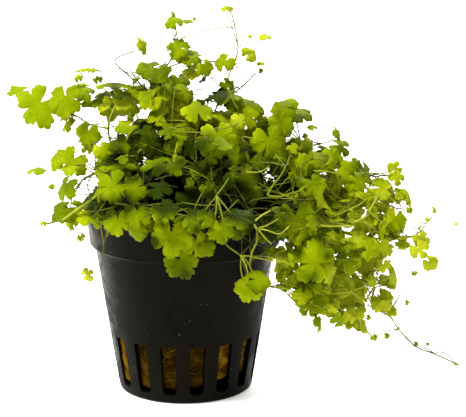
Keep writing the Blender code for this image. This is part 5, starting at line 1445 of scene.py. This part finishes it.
potColours = dict(
    black=(0.0003, 0.0003, 0.0002), worn=(0.0022, 0.0021, 0.0014), wetAndShaded=(0.0001, 0.0001, 0.0001),
    speck=(0.10, 0.10, 0.085), inside=(0.0006, 0.0006, 0.0005, 1), insideRoughness=0.8, roughness=0.30,
    gloss=0.036, sheen=(1.0, 0.94, 0.74, 1), cloudScale=70.0, filmScale=230.0, grainScale=2600.0,
    speckScale=420.0, bump=(0.35, 0.00012),
)


# The pot's inside: darker than its outside, and without reflection.
def potInside():
    g = Graph(bpy.data.materials.new("blackPlasticInside"))
    return g.finish(g.principled({
        "Base Color": potColours["inside"], "Roughness": potColours["insideRoughness"],
        "Specular IOR Level": 0.0}))


def potMaterial():
    look = potColours
    g, place = newMaterial("wetBlackPlastic")
    cloud = g.noise(place, look["cloudScale"], 4.0, 0.6, 0.4)
    film = g.noise(place, look["filmScale"], 5.0, 0.6, 0.6)
    grain = g.noise(place, look["grainScale"])
    # wet patches on the plastic, darker and glossier
    wetAndShaded = (film * 0.6 + cloud * 0.5).step(0.50, 0.64)
    specks = g.wire("ShaderNodeTexVoronoi", 0, {"feature": "F1"},
                    {"Vector": place, "Scale": look["speckScale"]})
    speck = (1.0 - specks.step(0.05, 0.16)) * cloud.step(0.45, 0.6)
    colour = g.mix(wetAndShaded, look["worn"], look["black"])
    colour = g.mix(film.step(0.62, 0.75) * 0.8, colour, look["wetAndShaded"])
    colour = g.mix(speck * 0.4, colour, look["speck"])
    rough = look["roughness"] + (1.0 - wetAndShaded) * 0.26 + (grain - 0.5) * 0.12 - speck * 0.2
    return g.finish(g.principled({
        "Base Color": colour, "Roughness": rough,
        "Normal": g.bump(grain * 0.25 + film * 0.8 + speck * 0.8, *look["bump"]),
        "Specular IOR Level": look["gloss"], "Specular Tint": look["sheen"]}))


# The plug of mineral wool: a turned body with a rough skin, and fibres that lie on it. It bulges into the
# slots by their number from the middle one, and its colour is painted lit or in shade by its place across, in
# lit and shaded copies of its colours.
wool = dict(
    foot=4.9, top=39.0, ends=(0.5, 0.6), capDown=0.2, capShare=0.6, inset=1.8, skinInset=0.35, rows=70,
    columns=180, rough=0.45, roughWaves=24, roughLimits=(-1.2, 0.35), wavesAround=(3, 26), wavesUp=(0.15, 1.6),
    footAcross=(-20, -16.8, -11.4, -4.2, 3.6, 7, 10.9, 16.5, 20), footFade=8,
    footHeights=(4.2, 3.9, 3.1, 3.7, 4.2, 5.2, 6.3, 6.2, 6), bulgeSpan=7.5,
    bulges={-3: 1.3, -2: 0.3, -1: 0.3, 0: 0.2, 1: 0.9, 2: 0.8, 3: 0.6, 6: 0.7, 9: 0.9}, bodyTone=0.3,
    litAcross=(-20, -14.6, -13, 7, 9, 13, 15, 20), lit=(1, 0.95, 0.12, 0.12, 0.8, 0.8, 0.5, 0.6),
    fibres=1700, fibreRadius=0.07, fibreThick=(0.6, 1.6), fibreLength=(3.0, 8.0), fibrePoints=7, fibreSides=3,
    fibreSlant=0.9, fibreBend=0.05, fibreInset=0.12, fibreSink=0.55, fibreTops=(19, 38.0), turnRadius=20,
    seed=8,
)


def footShift(points):  # the foot is uneven: lowest left of the middle and highest on the right
    fade = np.clip(1 - (points[:, 2] - wool["foot"]) / wool["footFade"], 0, 1)
    return (np.interp(points[:, 0], wool["footAcross"], wool["footHeights"]) - wool["foot"]) * fade


def bulge(turn, height):  # how far the wool pushes into the slots, by the angle in radians and the height
    total = np.zeros(np.shape(turn))
    for number, size in wool["bulges"].items():
        middle = -90 + pot["slotTurn"] + number * 360 / pot["slots"]
        away = fromMiddle(np.degrees(turn), middle) / wool["bulgeSpan"]
        total = total + size * np.exp(-away**4)
    return total * np.clip((pot["slotTop"] - height) * 2, 0, 1)


def lumps(turn, height, seed, count, size):  # a sum of slanted waves around the plug, each of its own pitch
    draw = random.Random(seed)
    total = np.zeros(np.broadcast(turn, height).shape)
    for k in range(count):
        around = draw.randint(*wool["wavesAround"])
        wave = np.sin(around * turn + draw.uniform(*wool["wavesUp"]) * height + draw.uniform(0, wholeTurn))
        total = total + math.sqrt(1 / (1 + around * 0.1)) * wave
    return size * total / math.sqrt(count)


def turned(radius, turn, height):  # places around the axis
    return np.stack(np.broadcast_arrays(radius * np.cos(turn), radius * np.sin(turn), height), -1)


def fibrePath(draw, top):  # an arc on the plug's skin
    turn, middle = draw.uniform(0, 2 * math.pi), draw.uniform(wool["foot"] + 1, top)
    slant, length = draw.gauss(0, wool["fibreSlant"]), draw.uniform(*wool["fibreLength"])
    along = np.linspace(-0.5, 0.5, wool["fibrePoints"]) * length
    up = middle + along * math.sin(slant) + draw.uniform(-wool["fibreBend"], wool["fibreBend"]) * along**2
    up = np.clip(up, wool["foot"] + 0.3, wool["top"] - 0.3)
    out = coneRadius(up) - wool["inset"] - wool["fibreInset"]
    out = out - draw.uniform(0, wool["fibreSink"]) * np.cos(along * 0.5) ** 2
    around = turn + along * math.cos(slant) / wool["turnRadius"]
    path = turned(out + bulge(around, up), around, up)
    path[:, 2] += footShift(path)
    return path


def buildWool(look):
    columns, rows, foot, top = wool["columns"], wool["rows"], wool["foot"], wool["top"]
    turn = np.arange(columns) * 2 * np.pi / columns
    height = np.linspace(foot + wool["ends"][0], top - wool["ends"][1], rows)[:, None]
    rough = lumps(turn[None], height, wool["seed"], wool["roughWaves"], wool["rough"])
    radius = coneRadius(height) - wool["inset"] - wool["skinInset"] + np.clip(rough, *wool["roughLimits"])
    skin = turned(radius + bulge(turn[None], height), turn, height)
    flat = [wool["capShare"], wool["capShare"], 0]
    low, high = [0, 0, foot], [0, 0, top - wool["capDown"]]
    points = np.concatenate([skin[[0]] * flat + low, skin, skin[[-1]] * flat + high]).reshape(-1, 3)
    points[:, 2] += footShift(points)
    n = len(points)
    faces = np.concatenate([gridFaces(rows + 2, columns), fan(0, columns, n, flip=True),
                            fan(n - columns, columns, n + 1)])
    points = np.concatenate([points, [low, high]])
    lit = np.interp(points[:, 0], wool["litAcross"], wool["lit"])
    bag = Bag()
    tone = np.stack(np.broadcast_arrays(wool["bodyTone"], lit, 0.0), 1)
    bag.add(points, faces, 0, None, tone)
    draw = random.Random(wool["seed"])
    for k in range(wool["fibres"]):
        path = fibrePath(draw, wool["fibreTops"][0 if k % 5 else 1])
        lit = float(np.interp(path[0, 0], wool["litAcross"], wool["lit"]))
        thick = wool["fibreRadius"] * draw.uniform(*wool["fibreThick"])
        stalkSurface(path, thick, wool["fibreSides"], bag, 0, draw.random(), lit)
    piece = bag.build("mineralWool", [look])
    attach(piece, "root")
    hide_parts("growing_medium")


woolColours = dict(
    deep=(0.006, 0.003, 0.0001), brown=(0.038, 0.019, 0.0007), straw=(0.10, 0.060, 0.004),
    litDeep=(0.05, 0.025, 0.0006), litBrown=(0.19, 0.10, 0.003), litStraw=(0.30, 0.18, 0.012),
    roughness=0.85, gloss=0.02, cloudScale=240.0, fineScale=1900.0, bump=(0.6, 0.0004),
)


def woolMaterial():
    look = woolColours
    g, place = newMaterial("mineralWool")
    own, lit = g.tones()[:2]
    cloud = g.noise(place, look["cloudScale"], 4.0, 0.6)
    fine = g.noise(place, look["fineScale"], 4.0, 0.7)
    body = (cloud * 0.9 + own * 0.5 - 0.2).step(0.1, 0.75)
    strand = (own * 0.8 + fine * 0.5).step(0.6, 1.15)
    # the wool's colours in painted shade and in painted light, mixed by the painted light of its place across
    wetAndShaded = g.mix(strand, g.mix(body, look["deep"], look["brown"]), look["straw"])
    litWool = g.mix(strand, g.mix(body, look["litDeep"], look["litBrown"]), look["litStraw"])
    return g.finish(g.principled({
        "Base Color": g.mix(lit + (cloud - 0.5) * 0.4, wetAndShaded, litWool), "Roughness": look["roughness"] + fine * 0.1,
        "Normal": g.bump(fine, *look["bump"]), "Specular IOR Level": look["gloss"]}))


# The studio: a pale floor that fades into the backdrop, soft lamps and the camera at the photo's angle.
# Lamps are name, place, target height, size, power and colour, in metres and watts.
studio = dict(
    floorHalf=4.0, floorColour=(0.9, 0.9, 0.9, 1), floorGlow=0.45, world=1.0, front=0.115,
    turnFrom=(-0.6, 0.5), lens=145.7, sensor=36.0, clip=(0.02, 20),
    lamps=(
        ("key", (-0.45, -0.35, 1.0), 0.06, 0.22, 30, (1.0, 0.96, 0.86)),
        ("back", (0.3, 0.8, 0.9), 0.06, 0.5, 12, (1.0, 0.97, 0.90)),
        ("side", (-1.0, 0.25, 0.35), 0.04, 0.5, 5, (1.0, 0.95, 0.80)),
    ),
)


def looking(place, target):  # the matrix of a lamp or camera at a place, turned to a target
    way = unit(np.array(place) - target)
    right = unit(np.cross((0, 0, 1), way))
    up = np.cross(way, right)
    return Matrix([[right[k], up[k], way[k], place[k]] for k in range(3)] + [[0, 0, 0, 1]])


def buildStudio():
    mesh = bpy.data.meshes.new("floor")
    half = studio["floorHalf"]
    corners = [(-half, -half, 0), (half, -half, 0), (half, half, 0), (-half, half, 0)]
    mesh.from_pydata(corners, [], [(0, 1, 2, 3)])
    g = Graph(bpy.data.materials.new("paleFloor"))
    mesh.materials.append(g.finish(g.principled({
        "Base Color": studio["floorColour"], "Roughness": 1.0, "Specular IOR Level": 0.0,
        "Emission Color": (1, 1, 1, 1), "Emission Strength": studio["floorGlow"]})))
    putInScene("floor", mesh)
    sky = Graph(bpy.data.worlds.new("studioLight"))
    back = sky.parts("ShaderNodeSeparateXYZ", sky.wire("ShaderNodeTexCoord", "Generated"))[1]
    strength = back.step(*studio["turnFrom"]) * (studio["world"] - studio["front"]) + studio["front"]
    background = sky.add("ShaderNodeBackground", None, {"Color": (1, 1, 1, 1), "Strength": strength})
    bpy.context.scene.world = sky.finish(background, "ShaderNodeOutputWorld")
    for name, place, height, size, power, colour in studio["lamps"]:
        light = bpy.data.lights.new(name, "AREA")
        light.shape, light.size, light.energy, light.color = "DISK", size, power, colour
        putInScene(name, light).matrix_world = looking(place, (0, 0, height))
    camera = bpy.data.cameras.new("camera")
    camera.lens, camera.sensor_width = studio["lens"], studio["sensor"]
    camera.clip_start, camera.clip_end = studio["clip"]
    holder = putInScene("camera", camera)
    holder.matrix_world = looking(standpoint * mm, lookedAt * mm)
    bpy.context.scene.camera = holder
    bpy.context.scene.view_settings.view_transform = "Standard"


buildStudio()
print("studio ready")
plant, room = layPlant()
tucked = tuckSmall(plant, room)
grown = growYoung(plant, room)
growCore(plant, room, grown)
print("layout:", sum(len(leaves) for name, limbs, leaves in plant), "leaves,",
      sum(map(len, tucked.values())), "small ones and", sum(map(len, grown.values())), "young")
dressPlant(plant, tucked, grown, leafMaterial(), stemMaterial())
buildPot(potMaterial(), potInside())
print("pot ready")
buildWool(woolMaterial())
print("mineral wool ready")
